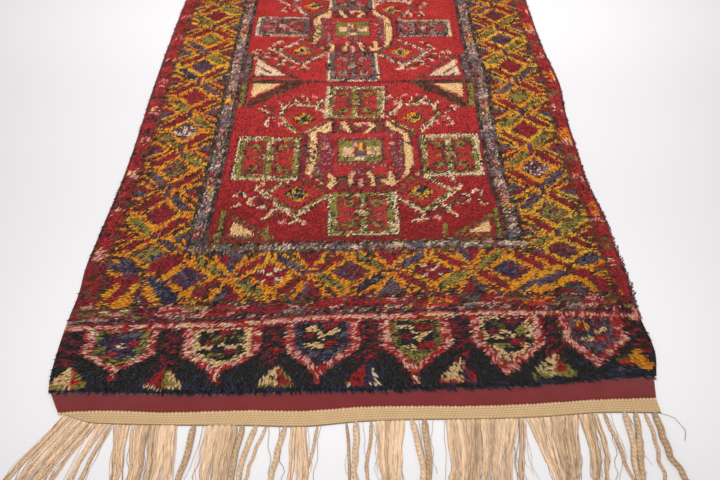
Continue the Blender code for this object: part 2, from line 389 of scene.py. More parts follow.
columnsOut = (np.arange(chartPlan["knotsAcross"]) - (chartPlan["knotsAcross"] - 1) / 2) * chartPlan["knotWidth"]
rowsOut = (np.arange(chartPlan["knotsAlong"]) + 0.5) * chartPlan["knotLength"]
chartX, chartY = np.meshgrid(columnsOut, rowsOut)
knots = np.zeros(chartX.shape, dtype=int)
chance = np.random.default_rng(chartPlan["seed"])
chartLie = np.radians(acrossTable(lieTable, chartX, chartY))


def towardsRoot(values, share):
    # some knots take the value of the next one up the lie of the pile
    rows, columns = np.indices(chartX.shape)
    turn = chartLie + chance.normal(0, 0.35, chartX.shape)
    rows = np.clip(rows + np.rint(np.cos(turn)).astype(int), 0, chartPlan["knotsAlong"] - 1)
    columns = np.clip(columns - np.rint(np.sin(turn)).astype(int), 0, chartPlan["knotsAcross"] - 1)
    return np.where(chance.random(chartX.shape) < share, values[rows, columns], values)


# random numbers that run in short streaks along the lie of the pile
streaks = [towardsRoot(chance.random(chartX.shape), 0.5) for number in range(12)]


def anyStreaks():
    return np.roll(streaks[chance.integers(len(streaks))], tuple(chance.integers(-9, 10, 2)), (0, 1))


def paint(where, yarn):
    # one yarn, or a mix of yarns in short streaks, on the knots of a mask
    if yarn in mixNumbers:
        table = mixNumbers[yarn]
        knots[where] = table[(anyStreaks()[where] * len(table)).astype(int)]
    else:
        knots[where] = yarnNames.index(yarn)


def paintRows(where, mix):
    # the yarns of a mix row by row, with ragged ends
    table = mixNumbers[mix]
    number = np.floor(chartY / chartPlan["knotLength"] + 1.5 * anyStreaks()).astype(int) % len(table)
    knots[where] = table[number[where]]


def fleck(where, yarn, share):
    # a few stray knots of another yarn
    paint(where & (anyStreaks() < share), yarn)


def paintBlocks(where, along, lengths, sequence, shift=0.0):
    # blocks of mixed yarn one after another, with ragged joins
    edges = np.cumsum([lengths[i % len(lengths)] for i in range(400)])
    number = np.searchsorted(edges, along + shift + chance.uniform(-5, 5, along.shape))
    for i, mix in enumerate(sequence):
        paint(where & (number % len(sequence) == i), mix)


def stroke(yarn, width, points, where=True):
    # a drawn line of some width through points in mm, or a spot at one point
    points = points * 2 if len(points) == 1 else points
    reach = np.full(chartX.shape, 1e9)
    for (ax, ay), (bx, by) in zip(points[:-1], points[1:]):
        dx, dy = bx - ax, by - ay
        t = np.clip(((chartX - ax) * dx + (chartY - ay) * dy) / max(dx * dx + dy * dy, 1e-6), 0, 1)
        reach = np.minimum(reach, np.hypot(chartX - ax - t * dx, chartY - ay - t * dy))
    paint((reach + chance.uniform(-1.0, 1.0, chartX.shape) < max(width / 2, 3.4)) & where, yarn)


def blob(yarn, x, y, halfX, halfY, where=True):
    paint((((chartX - x) / halfX) ** 2 + ((chartY - y) / halfY) ** 2 < 1) & where, yarn)


def drawTable(table, toChart, main, where=True):
    # rows of a table of lines: yarn, width, then points in the figure's own mm
    # pale lines get dark knots beside them: partly the rug's own dark outlines, partly painted shade beside the bright
    # lines
    for beside in (True, False):
        for yarn, width, *points in table:
            yarn = {"mainLine": main + "Line", "paleMain": "pale" + main.capitalize()}.get(yarn, yarn)
            points = [toChart(u, v) for u, v in points]
            if not beside:
                stroke(yarn, width, points, where)
            elif "pale" in yarn or "Line" in yarn:
                stroke("shadow", width + 8, points, where & (chance.random(chartX.shape) < 0.4))


# each diamond of the main border up the sides: core, upper and lower slanting bar (the others are wine), line
leftUnits = (
    ("greenBar", "greyBar", "navyBar", "goldLine"),
    ("wineBar", "greyBar", "greenBar", "goldLine"),
    ("greenCore", "greenBar", "greyBar", "goldLine"),
    ("greyCore", "greenBar", "greenBar", "goldLine"),
    ("wineBar", "greyBar", "greenBar", "goldLine"),
    ("inkCore", "greenBar", "navyBar", "yellowLine"),
    ("greenBar", "wineBar", "greyBar", "goldLine"),
    ("wineBar", "greenBar", "greenBar", "yellowLine"),
    ("inkCore", "greyBar", "greenBar", "goldLine"),
    ("brownCore", "greenBar", "greyBar", "yellowLine"),
)
rightUnits = (
    ("brownCore", "greenBar", "navyBar", "yellowLine"),
    ("greenCore", "greyBar", "greenBar", "yellowLine"),
    ("greyCore", "greenBar", "greyBar", "goldLine"),
    ("wineBar", "greenBar", "greenBar", "yellowLine"),
    ("greenBar", "greyBar", "greenBar", "goldLine"),
    ("wineBar", "greenBar", "greyBar", "yellowLine"),
    ("inkCore", "greenBar", "greenBar", "yellowLine"),
    ("brownCore", "greyBar", "greenBar", "goldLine"),
    ("wineBar", "greenBar", "greyBar", "yellowLine"),
    ("greenCore", "greenBar", "greenBar", "goldLine"),
)
endUnits = (
    {"x": -360, "core": "inkCore", "slants": ("wineBar", "greenBar", "navyBar", "wineBar"), "dotted": False},
    {"x": -184, "core": "wineBar", "slants": ("wineBar", "greyBar", "greenBar", "wineBar"), "dotted": True},
    {"x": -14, "core": "brownCore", "slants": ("wineBar", "greenBar", "greenBar", "navyBar"), "dotted": False},
    {"x": 160, "core": "wineBar", "slants": ("greyBar", "wineBar", "wineBar", "greenBar"), "dotted": True},
    {"x": 331, "core": "inkCore", "slants": ("greenBar", "wineBar", "wineBar", "greyBar"), "dotted": False},
)
# the two corners of the main border, drawn line by line in chart mm at the near end
cornerLeft = (
    ("wineBar", 26, (-436, 322), (-394, 350)),
    ("goldLine", 15, (-404, 296), (-378, 320)),
    ("navyBar", 27, (-432, 282), (-392, 238)),
    ("greyBar", 20, (-524, 326), (-484, 300)),
    ("goldLine", 11, (-530, 312), (-508, 302), (-492, 282)),
    ("wineBar", 22, (-516, 286), (-500, 290)),
    ("wineBar", 24, (-512, 264), (-474, 292)),
    ("goldLine", 14, (-534, 236), (-516, 262), (-506, 276)),
    ("crimson", 16, (-516, 238), (-500, 246)),
    ("goldLine", 17, (-496, 234), (-478, 252), (-470, 276)),
    ("goldLine", 12, (-484, 240), (-466, 238)),
    ("goldLine", 18, (-452, 280), (-438, 256), (-414, 232)),
    ("greyBar", 12, (-458, 240), (-452, 236)),
    ("ivory", 6, (-456, 236)),
    ("goldLine", 6, (-532, 230), (-470, 231)),
    ("shadow", 8, (-456, 292), (-456, 316)),
)
cornerRight = (
    ("wineBar", 26, (394, 336), (438, 310)),
    ("greyBar", 20, (524, 332), (484, 306)),
    ("goldLine", 17, (330, 244), (362, 266), (394, 282), (434, 302)),
    ("goldLine", 15, (384, 262), (400, 284)),
    ("goldLine", 11, (392, 326), (404, 322), (412, 306)),
    ("greyBar", 19, (386, 252), (440, 284)),
    ("greyBar", 14, (346, 240), (362, 244)),
    ("goldLine", 17, (374, 231), (418, 248), (456, 270)),
    ("goldLine", 12, (472, 304), (498, 302), (530, 326)),
    ("wineBar", 22, (478, 286), (494, 280)),
    ("wineBar", 26, (502, 272), (524, 240)),
    ("goldLine", 10, (500, 300), (514, 282), (532, 268)),
    ("goldLine", 14, (464, 266), (480, 262), (496, 238)),
    ("goldLine", 6, (532, 296), (532, 234)),
    ("greyBar", 20, (452, 238), (466, 238)),
    ("crimson", 9, (448, 238)),
    ("greenBar", 12, (512, 292), (518, 290)),
    ("crimson", 12, (522, 308)),
    ("shadow", 8, (456, 292), (456, 316)),
)


# blocks of the end guard: where each starts across, in mm, and its mix
guardBlocks = (
    (-600, "oliveBlock"), (-525, "tanBlock"), (-466, "thicket"), (-425, "redBlock"), (-409, "pinkBlock"),
    (-358, "tanBlock"), (-299, "redBlock"), (-255, "pinkBlock"), (-229, "darkRed"), (-173, "redBlock"),
    (-147, "roseBlock"), (-98, "thicket"), (-86, "redBlock"), (-55, "pinkBlock"), (-22, "darkRed"),
    (48, "pinkBlock"), (99, "darkRed"), (112, "goldBlock"), (125, "redBlock"), (146, "orangeBlock"),
    (194, "redBlock"), (218, "greyBlock"), (253, "pinkBlock"), (305, "oliveBlock"), (356, "orangeBlock"),
    (413, "greyBlock"), (461, "pinkBlock"), (510, "oliveBlock"), (533, "redBlock"), (557, "thicket"),
)


# diamonds of the main border in mm: middles up the sides, their place across, half sizes
latticePlan = {
    "middles": (358, *(480 + 159.4 * i for i in range(8)), 1722),
    "across": 456,
    "sideHalf": (77, 79.7),
    "cornerHalf": (77, 62),
    "endHalf": (86, 65),
    # rings of a diamond as shares of its half size
    "coreTo": 0.47,
    "shadeTo": 0.52,
    "ringTo": 0.74,
    "bars": (0.78, 1.13),
    "trianglesFrom": 1.08,
    "outerLine": (1.15, 1.26),
    "ragged": 0.035,
}


def latticeUnit(where, x, y, halfSize, core, slants, line, dotted, upright):
    # one diamond of the main border: thick ring, four slanting bars, double ties to the band's edges
    # and small outlined triangles between the units
    dx, dy = chartX - x, chartY - y
    a, b = np.abs(dx) / halfSize[0], np.abs(dy) / halfSize[1]
    ring = a + b + chance.uniform(-latticePlan["ragged"], latticePlan["ragged"], chartX.shape)
    toEdge, onAxis = (a, b) if upright else (b, a)
    here = where & (a <= 1.02) & (b <= 1.02)

    def between(low, high):
        return here & (ring > low) & (ring < high)

    paint(here, "shadow")
    quarter = [(dx < 0) & (dy > 0), (dx >= 0) & (dy > 0), (dx < 0) & (dy <= 0), (dx >= 0) & (dy <= 0)]
    bars = between(*latticePlan["bars"]) & (onAxis < 0.92)
    for part, slant in zip(quarter, slants):
        paint(bars & part, slant)
    # triangles on the band's edge, shared with the next unit
    apex = 0.42 if upright else 0.14
    depth = (onAxis - 0.60) / 0.40 - (1 - toEdge) / (1 - apex)
    triangle = here & (depth > -0.26) & (ring > latticePlan["trianglesFrom"])
    paint(triangle, "shadow")
    for part, slant in zip(quarter, slants[::-1]):
        paint(triangle & part & (depth > 0.1) & (toEdge < 0.97), "wineBar" if slant != "wineBar" else "greyBar")
    paint(triangle & (depth > -0.2) & (depth < 0.1), line)
    paint(between(*latticePlan["outerLine"]) & (depth < -0.2), line)
    # dark upright between the diamonds
    neck = here & (toEdge < 0.16) & (onAxis > 0.76)
    paint(neck, line)
    paint(neck & (toEdge < 0.09), "brownCore")
    tie = here & (toEdge > 0.62)
    paint(tie & (onAxis < 0.17), "shadow")
    paint(tie & (onAxis > 0.035) & (onAxis < 0.14), line)
    paint(here & (ring < latticePlan["ringTo"]), line)
    paint(here & (ring < latticePlan["shadeTo"]), "shadow")
    inside = here & (ring < latticePlan["coreTo"])
    paint(inside, core)
    fleck(inside, "wine", 0.12)
    if dotted:
        spots = (np.abs(np.abs(dx) - 17) < 6) & (np.abs(np.abs(dy) - 13) < 5)
        paint(inside & (spots | ((np.abs(dx) < 4) & (np.abs(dy) < 6))), "ivory")
    fleck(here & (ring > 0.5), "black", 0.04)
    fleck(here & (ring > 0.5), "brown", 0.03)


def borders():
    x, y = chartX, chartY
    side = rugShape["halfChart"] - np.abs(x)
    end = np.minimum(y, chartPlan["length"] - y)
    farHalf = y > chartPlan["length"] / 2
    pastEnds = end >= chartPlan["endGuard"]

    # main border across the ends, then up both sides
    band = pastEnds & (end < chartPlan["endLattice"]) & (side >= chartPlan["sideGuard"])
    column = pastEnds & (side >= chartPlan["sideGuard"]) & (side < chartPlan["sideLattice"])
    paint(band | column, "shadow")
    for i, place in enumerate(latticePlan["middles"]):
        halfSize = latticePlan["sideHalf" if 1 <= i <= 8 else "cornerHalf"]
        for left in (True, False):
            here, across = column & ((x < 0) == left), latticePlan["across"] * (-1 if left else 1)
            core, upper, lower, line = (leftUnits if left else rightUnits)[i]
            slants = ("wineBar", upper, lower, "wineBar") if left else (upper, "wineBar", "wineBar", lower)
            latticeUnit(here, across, place, halfSize, core, slants, line, i % 5 == 3 and left, True)
    for turn in (1, -1):
        middle = (chartPlan["endGuard"] + chartPlan["endLattice"]) / 2
        middle = middle if turn > 0 else chartPlan["length"] - middle
        half = band & (farHalf == (turn < 0))
        paint(half & (side < chartPlan["sideGuard"] + 84) & (end < 297), "shadow")
        for unit in endUnits:
            slants, place = unit["slants"][::turn], (unit["x"] * turn, middle, latticePlan["endHalf"])
            latticeUnit(half, *place, unit["core"], slants, "goldLine", unit["dotted"], False)
        for yarn, width, *points in cornerLeft + cornerRight:
            stroke(yarn, width, [(u * turn, v if turn > 0 else chartPlan["length"] - v) for u, v in points], half)

    # outer side guard: red with pale, olive and orange blocks, dark at both its edges
    guard = (side < chartPlan["sideGuard"]) & pastEnds
    sequence = ("redBlock", "redBlock", "pinkBlock", "redBlock", "oliveBlock", "redBlock", "pinkBlock", "orangeBlock")
    quieter = ("redBlock", "darkRed", "pinkBlock", "redBlock", "darkRed", "redBlock", "pinkBlock", "darkRed")
    paintBlocks(guard & (x < 0), y, (38, 30, 34, 40, 26), quieter)
    paintBlocks(guard & (x > 0), y, (34, 42, 28, 40), sequence, 60)
    paint(guard & (side < 11), "darkRed")
    paint(guard & (side > 33), "shadow")

    # end guard between the main border and the dark panel
    guard = (end >= chartPlan["pinkLine"]) & (end < chartPlan["endGuard"])
    paint(guard, "darkRed")
    across = np.where(farHalf, -x, x) - 0.8 * (end - 206) + chance.uniform(-4, 4, x.shape)
    number = np.searchsorted([start for start, mix in guardBlocks], across)
    for i, (start, mix) in enumerate(guardBlocks):
        block = guard & (number == i + 1) & (end > 193) & (end < 218)
        paintRows(block, mix)
        fleck(block, "darkRed", 0.15)
    for dash, pale in ((guard & (end > 184) & (end < 192), "grey"), (guard & (end >= 220), "green")):
        paint(dash, "dashLine")
        fleck(dash, "pink", 0.12)
        fleck(dash, pale, 0.12)
    line = (end >= chartPlan["panel"] - 4) & (end < chartPlan["pinkLine"])
    paint(line, "redBlock")
    paint(line & (end > chartPlan["panel"] - 1) & (end < chartPlan["pinkLine"] - 3), "pinkLine")

    # inner guard: mottled grey and purple, paler and warmer in blocks
    sequence = (
        "greyBlock", "roseBlock", "inkBlock", "paleBlock", "greyBlock",
        "goldBlock", "roseBlock", "paleBlock", "greyBlock", "roseBlock",
    )
    guard = (side >= chartPlan["sideLattice"]) & (side < chartPlan["sideInner"]) & (end >= chartPlan["endLattice"])
    paintBlocks(guard & (x < 0), y, (34, 44, 30, 52, 26), sequence)
    paintBlocks(guard & (x > 0), y, (40, 30, 48, 36), sequence, 90)
    paint(guard & ((side < chartPlan["sideLattice"] + 9) | (side > chartPlan["sideInner"] - 9)), "dashLine")
    fleck(guard, "blueGrey", 0.05)
    fleck(guard, "grey", 0.05)
    guard = (side >= chartPlan["sideLattice"]) & (end >= chartPlan["endLattice"]) & (end < chartPlan["endInner"])
    sequence = ("greyBlock", "inkBlock", "greyBlock", "roseBlock", "paleBlock", "inkBlock")
    paintBlocks(guard, x + 600, (46, 36, 60, 30), sequence, 20)
    paint(guard & ((end < chartPlan["endLattice"] + 8) | (end > chartPlan["endInner"] - 7)), "dashLine")
    fleck(guard, "grey", 0.06)
    fleck(guard, "green", 0.05)


# shields of the end panel in mm: middle, half width, depth to the tip, ring inside the pale outline, fill,
# and marks across and down
shieldShoulder = 63
shieldLayers = {"outline": 3, "red": 17, "ring": 20}  # mm in from the shield's edge
shieldPlan = (
    {"x": -463, "half": 71, "tip": 110, "stem": 24, "ring": "greenBar", "thick": 12, "fill": "inkCore", "marks": (
        ("panelBlack", 12, (-36, 12), (-12, 12)), ("wine", 12, (-20, 10), (-10, 10)),
        ("navy", 15, (-36, 28), (-32, 46)), ("blueGrey", 11, (-4, 14), (30, 10)),
        ("green", 6, (-38, 44), (-26, 48)), ("crimson", 13, (22, 33), (30, 34)), ("ivory", 9, (-2, 38), (6, 42)),
        ("scarlet", 13, (-20, 62), (-12, 62)), ("navy", 14, (14, 56), (26, 60)), ("green", 6, (26, 50), (36, 48)),
        ("greenBar", 16, (-14, 80), (12, 80)),
    )},
    {"x": -266, "half": 76, "tip": 118, "stem": 20, "ring": "creamSpeck", "thick": 12, "fill": "panelBlack", "marks": (
        ("wineBar", 14, (2, 12), (16, 12)), ("greenBar", 12, (-16, 16), (0, 28)),
        ("greenBar", 16, (26, 18), (34, 26)), ("wine", 12, (-30, 32), (-20, 36)),
        ("cream", 5, (-38, 46), (-22, 46)), ("cream", 6, (16, 46), (38, 42)), ("cream", 5, (-4, 40), (6, 44)),
        ("greenBar", 14, (-20, 62), (2, 66)), ("wine", 15, (12, 58), (26, 56)), ("moss", 8, (30, 56), (36, 52)),
        ("cream", 16, (-12, 88), (14, 88)),
    )},
    {"x": -70, "half": 74, "tip": 124, "stem": 20, "ring": "navyBar", "thick": 14, "fill": "panelBlack", "marks": (
        ("cream", 8, (-28, 14), (-16, 12), (-6, 26), (2, 38)), ("wineBar", 14, (8, 10), (26, 10)),
        ("cream", 10, (18, 24), (34, 24)), ("cream", 7, (2, 38), (20, 26)), ("crimson", 12, (-30, 32), (-22, 34)),
        ("cream", 11, (-28, 54), (-8, 58)), ("crimson", 14, (8, 54), (22, 54)),
        ("navyBar", 18, (-24, 76), (24, 76)), ("purple", 10, (-20, 72), (-12, 72)),
    )},
    {"x": 116, "half": 70, "tip": 126, "stem": 22, "ring": "greenBar", "thick": 12, "fill": "panelBlack", "marks": (
        ("moss", 12, (-36, 36), (-34, 58)),
        ("cream", 6, (-34, 16), (-12, 16), (-6, 32), (4, 46), (14, 34), (28, 34)),
        ("wineBar", 16, (4, 18), (28, 20)), ("wine", 14, (-30, 40), (-18, 40)), ("crimson", 15, (8, 64), (22, 60)),
        ("cream", 12, (-22, 62), (-8, 66)), ("moss", 10, (34, 46), (34, 62)), ("greenBar", 22, (-18, 84), (20, 84)),
        ("greenBar", 14, (0, 98)),
    )},
    {"x": 296, "half": 72, "tip": 132, "stem": 4, "ring": "creamSpeck", "thick": 12, "fill": "panelBlack", "marks": (
        ("moss", 12, (-20, 12), (-6, 26)), ("wine", 12, (6, 12), (24, 12)), ("greenBar", 16, (22, 34), (36, 30)),
        ("wine", 14, (-28, 36), (-20, 38)), ("cream", 6, (-8, 36), (4, 40), (10, 48)),
        ("cream", 8, (-24, 50), (-16, 50)), ("crimson", 16, (8, 58), (20, 58)),
        ("greenBar", 14, (-22, 70), (-4, 70)), ("cream", 15, (-24, 92), (22, 92)),
    )},
    {"x": 469, "half": 64, "tip": 124, "stem": 5, "ring": "greyBar", "thick": 14, "fill": "inkCore", "marks": (
        ("panelBlack", 10, (-30, 26), (-20, 40)), ("orange", 8, (-28, 12), (-12, 12), (-8, 24), (-12, 32)),
        ("wineBar", 12, (4, 14), (16, 12)), ("crimson", 12, (-26, 30), (-20, 32)), ("yellow", 6, (6, 40), (14, 36)),
        ("cream", 7, (12, 36), (28, 26)), ("cream", 11, (-20, 54), (-8, 58)), ("scarlet", 12, (6, 58), (22, 52)),
        ("greyBar", 18, (-16, 78), (18, 76)),
    )},
)
wedgePlan = (
    {"x": -544, "low": 13, "half": 36, "left": "cream", "right": "scarlet", "edge": "green"},
    {"x": -365, "low": 14, "half": 40, "left": "crimson", "right": "green", "edge": "cream"},
    {"x": -149, "low": 14, "half": 38, "left": "cream", "right": "crimson", "edge": "green"},
    {"x": 23, "low": 14, "half": 36, "left": "crimson", "right": "navy", "edge": "ivory"},
    {"x": 203, "low": 14, "half": 38, "left": "cream", "right": "navy", "edge": "crimson"},
    {"x": 385, "low": 21, "half": 43, "left": "cream", "right": "crimson", "edge": "green"},
)
# the last wedge stands askew: lines in mm across and down
cornerWedge = (
    ("navyBar", 14, (504, 138), (544, 142)),
    ("moss", 16, (514, 112), (536, 104)),
    ("scarlet", 12, (516, 121), (546, 122)),
    ("orange", 16, (542, 92), (548, 112), (559, 136)),
    ("orange", 20, (540, 110), (556, 130)),
)
dotColumns = (-562, -366, -168, 20, 201, 379, 552)


def endPanel(far):
    turn = -1 if far else 1
    x = chartX * turn
    y = chartPlan["length"] - chartY if far else chartY
    top = chartPlan["panel"] - 4
    panel = y < top
    fall = top - y
    paint(panel, "panelBlack")
    paint(panel & (y < 13), "edgeNavy")
    fleck(panel & (y < 45) & (x < 60), "navy", 0.22)

    def toChart(u, v):
        return (u * turn, chartPlan["length"] - top + v if far else top - v)

    for middle in dotColumns:
        fleck(panel & (np.abs(x - middle) < 22) & (y > 60), "wine", 0.15)
        fleck(panel & (np.abs(x - middle) < 34) & (y > 50), "umber", 0.12)
        for k in range(6):
            across = middle + (7 if k % 2 else -7)
            stroke("dotColumn", 9, [toChart(across + part, 12 + 15 * k) for part in (-3, 3)], panel)
    for shield in shieldPlan:
        dx = np.abs(x - shield["x"]) + chance.uniform(-1.5, 1.5, x.shape)
        slanted = fall > shieldShoulder
        narrowing = (fall - shieldShoulder) * (shield["half"] - 7) / (shield["tip"] - shieldShoulder)
        width = np.where(slanted, shield["half"] - narrowing, shield["half"])
        width = np.where(fall > shield["tip"], 6, width)
        slope = np.where(slanted, 1.3, 1.0)
        shape = panel & (fall < shield["tip"] + shield["stem"]) & (dx < width)
        paint(shape, "redBlock")
        paint(shape & (dx < width - shieldLayers["outline"] * slope), "outline")
        paint(shape & (dx < width - shieldLayers["red"] * slope), "redBlock")
        ring = shape & (dx < width - shieldLayers["ring"] * slope) & (fall < shield["tip"] - shieldLayers["ring"])
        paint(ring, shield["ring"])
        inner = ring & (dx < width - (shieldLayers["ring"] + shield["thick"]) * slope) & (fall > 4)
        paint(inner, shield["fill"])
        drawTable(shield["marks"], lambda u, v: toChart(shield["x"] + u, v), "green", ring)
        fleck(ring, "black", 0.06)
    for wedge in wedgePlan:
        dx, dy = x - wedge["x"], y - wedge["low"]
        width = wedge["half"] * np.clip(1 - dy / 50, 0, 1) ** 0.85 + chance.uniform(-1.5, 1.5, x.shape)
        shape = panel & (dy > -2) & (dy < 49) & (np.abs(dx) < width)
        paint(shape & (dx < 1), wedge["left"])
        paint(shape & (dx >= 1), wedge["right"])
        paint(shape & ((dy < 5) | (dx > width - 9)) & (np.abs(dx) > 8), wedge["edge"])
        fleck(shape, "black", 0.08)
    drawTable(cornerWedge, toChart, "green", panel)


def armSquare(x, y, halfX, halfY, main, open):
    # square arm of a medallion: pale outer line but for the open side, coloured inner line, cross, diagonals and curls
    dx, dy = chartX - x, chartY - y
    a, b = np.abs(dx), np.abs(dy)
    fineMottle = "mottle" if main == "green" else "greyMottle"
    shut = {"right": dx < halfX - 8, "left": dx > 8 - halfX, "top": dy < halfY - 7, "bottom": dy > 7 - halfY}[open]
    fleck((a < halfX + 6) & (b < halfY + 6) & shut, "shadow", 0.5)
    box = (a < halfX) & (b < halfY)
    paint(box, "paleLine")
    paint(box & ~shut, "darkRed")
    paint((a < halfX - 7) & (b < halfY - 6), main + "Line")
    inner = (a < halfX - 21) & (b < halfY - 17)
    paint(inner, "squareRed")
    fleck(inner & ((a > halfX - 27) | (b > halfY - 22)), "shadow", 0.6)
    inX, inY = halfX - 24, halfY - 19
    # clear red beside the frame, a mottled middle
    paint(inner & (b > 5) & (a > inX * 0.42) & (a < inX) & (b < inY * 0.62 * a / inX), "red")
    fleck(inner & (b > inY * 0.7) & (a < inX * 0.8), "red", 0.35)
    paint(inner & (np.abs(a * inY / inX - b) < 5), fineMottle)
    paint(inner & (b < 4.5), fineMottle)
    paint(inner & (a < 11) & (b > 22), "shadow")
    paint(inner & (a < 7) & (b > 20), main + "Line")
    for sx in (-1, 1):
        for sy in (-1, 1):
            cx, cy = x + sx * inX * 0.58, y + sy * inY * 0.62
            blob("shadow", cx, cy, 17, 15, inner)
            blob(main, cx, cy, 13, 12, inner)
            blob("darkRed", cx + sx * 3, cy - sy * 3, 8, 7, inner)
    blob("shadow", x, y, 20, 18, inner)
    blob(main, x, y, 12, 12, inner)
    fleck(inner & (a < 16) & (b < 14), "pink", 0.15)
    fleck(inner & (a < 12) & (b < 10), "ivory", 0.2)


# lines of the corner between two arms of a medallion, in mm out from the medallion's middle
cornerNear = (
    ("redField", 60, (118, 163), (182, 163)),
    ("mottle", 9, (146, 98), (80, 160)),
    ("paleMain", 11, (150, 91), (224, 160)),
    ("mainLine", 8, (82, 166), (150, 230)),
    ("paleLine", 6, (84, 176), (148, 239)),
    ("mainLine", 9, (220, 168), (152, 230)),
    ("paleLine", 6, (230, 170), (160, 238)),
    ("paleLine", 6, (152, 236), (140, 256), (128, 262)),
    ("paleLine", 5, (146, 256), (158, 264)),
    ("pink", 9, (174, 257), (183, 261)),
    ("shadow", 11, (246, 184), (182, 244)),
    ("paleLine", 5, (214, 104), (232, 112), (238, 128)),
    ("wine", 6, (222, 124), (232, 140)),
    ("paleLine", 6, (246, 136), (252, 148), (240, 160), (232, 150)),
    ("wine", 7, (240, 168), (262, 180)),
    ("paleLine", 5, (248, 176), (262, 182), (264, 198), (252, 204)),
    ("crimson", 6, (254, 192),),
    ("paleLine", 6, (226, 208), (238, 214)),
    ("paleLine", 6, (196, 216), (210, 222), (208, 238)),
    ("black", 6, (200, 228),),
    ("paleLine", 5, (214, 240), (224, 250)),
    ("paleLine", 5, (275, 176), (279, 164), (291, 160), (299, 170), (292, 182)),
    ("paleLine", 6, (284, 202), (296, 213)),
)
cornerFar = (
    ("redField", 60, (120, 145), (180, 145)),
    ("paleMain", 10, (78, 152), (118, 206)),
    ("paleMain", 8, (118, 206), (150, 210), (192, 206)),
    ("mainLine", 10, (206, 186), (218, 158)),
    ("mainLine", 9, (220, 160), (168, 88)),
    ("paleLine", 6, (206, 124), (170, 80)),
    ("mainLine", 8, (84, 138), (148, 82)),
    ("mottle", 7, (148, 82), (150, 60)),
    ("shadow", 6, (104, 226),),
    ("paleLine", 6, (98, 224), (106, 236), (116, 230), (114, 214), (102, 214)),
    ("black", 7, (107, 224),),
    ("paleLine", 5, (76, 246), (84, 252), (90, 242)),
    ("pink", 7, (118, 244), (132, 258)),
    ("shadow", 9, (158, 222), (170, 246)),
    ("paleLine", 6, (140, 210), (147, 241)),
    ("paleLine", 7, (184, 243), (160, 204)),
    ("pink", 7, (158, 252), (160, 258)),
    ("paleLine", 6, (176, 214), (190, 204)),
    ("paleLine", 6, (195, 218), (208, 186)),
    ("paleLine", 7, (222, 220), (209, 186)),
    ("shadow", 8, (236, 176), (252, 196)),
    ("paleLine", 6, (262, 196), (272, 186), (260, 176), (242, 160), (232, 146)),
    ("wine", 9, (228, 112), (238, 134)),
    ("paleLine", 6, (244, 140), (250, 122), (256, 110), (242, 102)),
    ("pink", 5, (232, 128),),
    ("paleLine", 5, (202, 144), (198, 122)),
    ("pink", 5, (212, 124), (216, 108)),
)


def cornerDiamond(x, y, main, outX, outY, far):
    def toChart(u, v):
        return (x + u * outX, y + v * outY)

    drawTable(cornerFar if far else cornerNear, toChart, main)
    cx, cy = toChart(150, 144 if far else 163)
    dx, dy = chartX - cx, chartY - cy
    ring = np.abs(dx) / 64 + np.abs(dy) / 60
    paint(ring < 0.86, "redField")
    fleck((ring > 0.74) & (ring < 0.9), "shadow", 0.4)
    core = ring < 0.56
    paint(core, "shadow")
    inside = ring < 0.48
    paint(inside & (dx * dy > 0), main)
    paint(inside & (dx * dy <= 0), "yellow")
    fleck(inside, "orange", 0.25)
    fleck(inside, "black", 0.3)
    paint(ring < 0.16, "navy")


# eight-sided middle of a medallion, in mm from its middle: ground, bars up the sides, teeth at both ends
middleGround = (
    ("roseMottle", 46, (-84, -64), (-84, 70)),
    ("roseMottle", 42, (86, -40), (88, 76)),
    ("red", 12, (-60, -74), (-60, 80)),
    ("red", 11, (72, -44), (74, 82)),
    ("red", 18, (-62, 74), (62, 76)),
    ("red", 30, (-52, -70), (-26, -66)),
    ("red", 30, (50, -66), (60, -72)),
    ("roseMottle", 30, (-4, -60), (14, -58)),
    ("pink", 8, (-90, 20), (-84, 26)),
    ("pink", 9, (84, 42), (90, 34)),
)
middleLines = (
    ("mottle", 8, (-104, 28), (-102, -60)),
    ("mottle", 7, (112, 30), (114, -40)),
    ("creamSpeck", 21, (-121, 62), (-118, -4), (-121, -46)),
    ("creamSpeck", 14, (-121, -46), (-126, -98)),
    ("cream", 13, (-126, 76), (-106, 98), (-84, 130)),
    ("cream", 18, (-98, 99), (-88, 94)),
    ("cream", 10, (-82, 98), (-80, 130)),
    ("shadow", 5, (-128, 46), (-110, 28)),
    ("shadow", 5, (-128, 20), (-110, 0)),
    ("shadow", 5, (-128, -10), (-110, -28)),
    ("moss", 5, (-128, -36), (-112, -52)),
    ("cream", 19, (124, 62), (129, -16), (126, -56)),
    ("cream", 13, (126, -56), (118, -92), (112, -110)),
    ("cream", 12, (124, 74), (108, 94), (92, 104)),
    ("cream", 14, (79, 138), (82, 116), (94, 102)),
    ("moss", 5, (120, 44), (134, 30)),
    ("cream", 12, (77, -76), (82, -96), (78, -112)),
    ("cream", 20, (80, -119), (87, -121)),
    ("cream", 10, (90, -124), (112, -112)),
    ("cream", 8, (-106, -108), (-94, -121)),
    ("cream", 14, (-74, -130), (-64, -116)),
    ("cream", 11, (-64, -116), (-66, -100), (-74, -88)),
    ("cream", 9, (-15, -76), (-19, -96), (-23, -119)),
    ("pink", 11, (2, -104), (6, -128)),
    ("cream", 12, (25, -79), (34, -96)),
    ("cream", 9, (34, -96), (35, -126)),
    ("cream", 9, (60, -108), (70, -120)),
    ("cream", 13, (-44, 132), (-36, 112)),
    ("cream", 10, (-36, 112), (-23, 90)),
    ("cream", 10, (-8, 130), (0, 120)),
    ("pink", 9, (4, 130), (28, 130)),
    ("cream", 12, (28, 130), (36, 116)),
    ("cream", 10, (36, 116), (21, 90)),
    ("shadow", 11, (44, 98), (51, 102)),
    ("crimson", 9, (12, 112), (16, 104)),
)
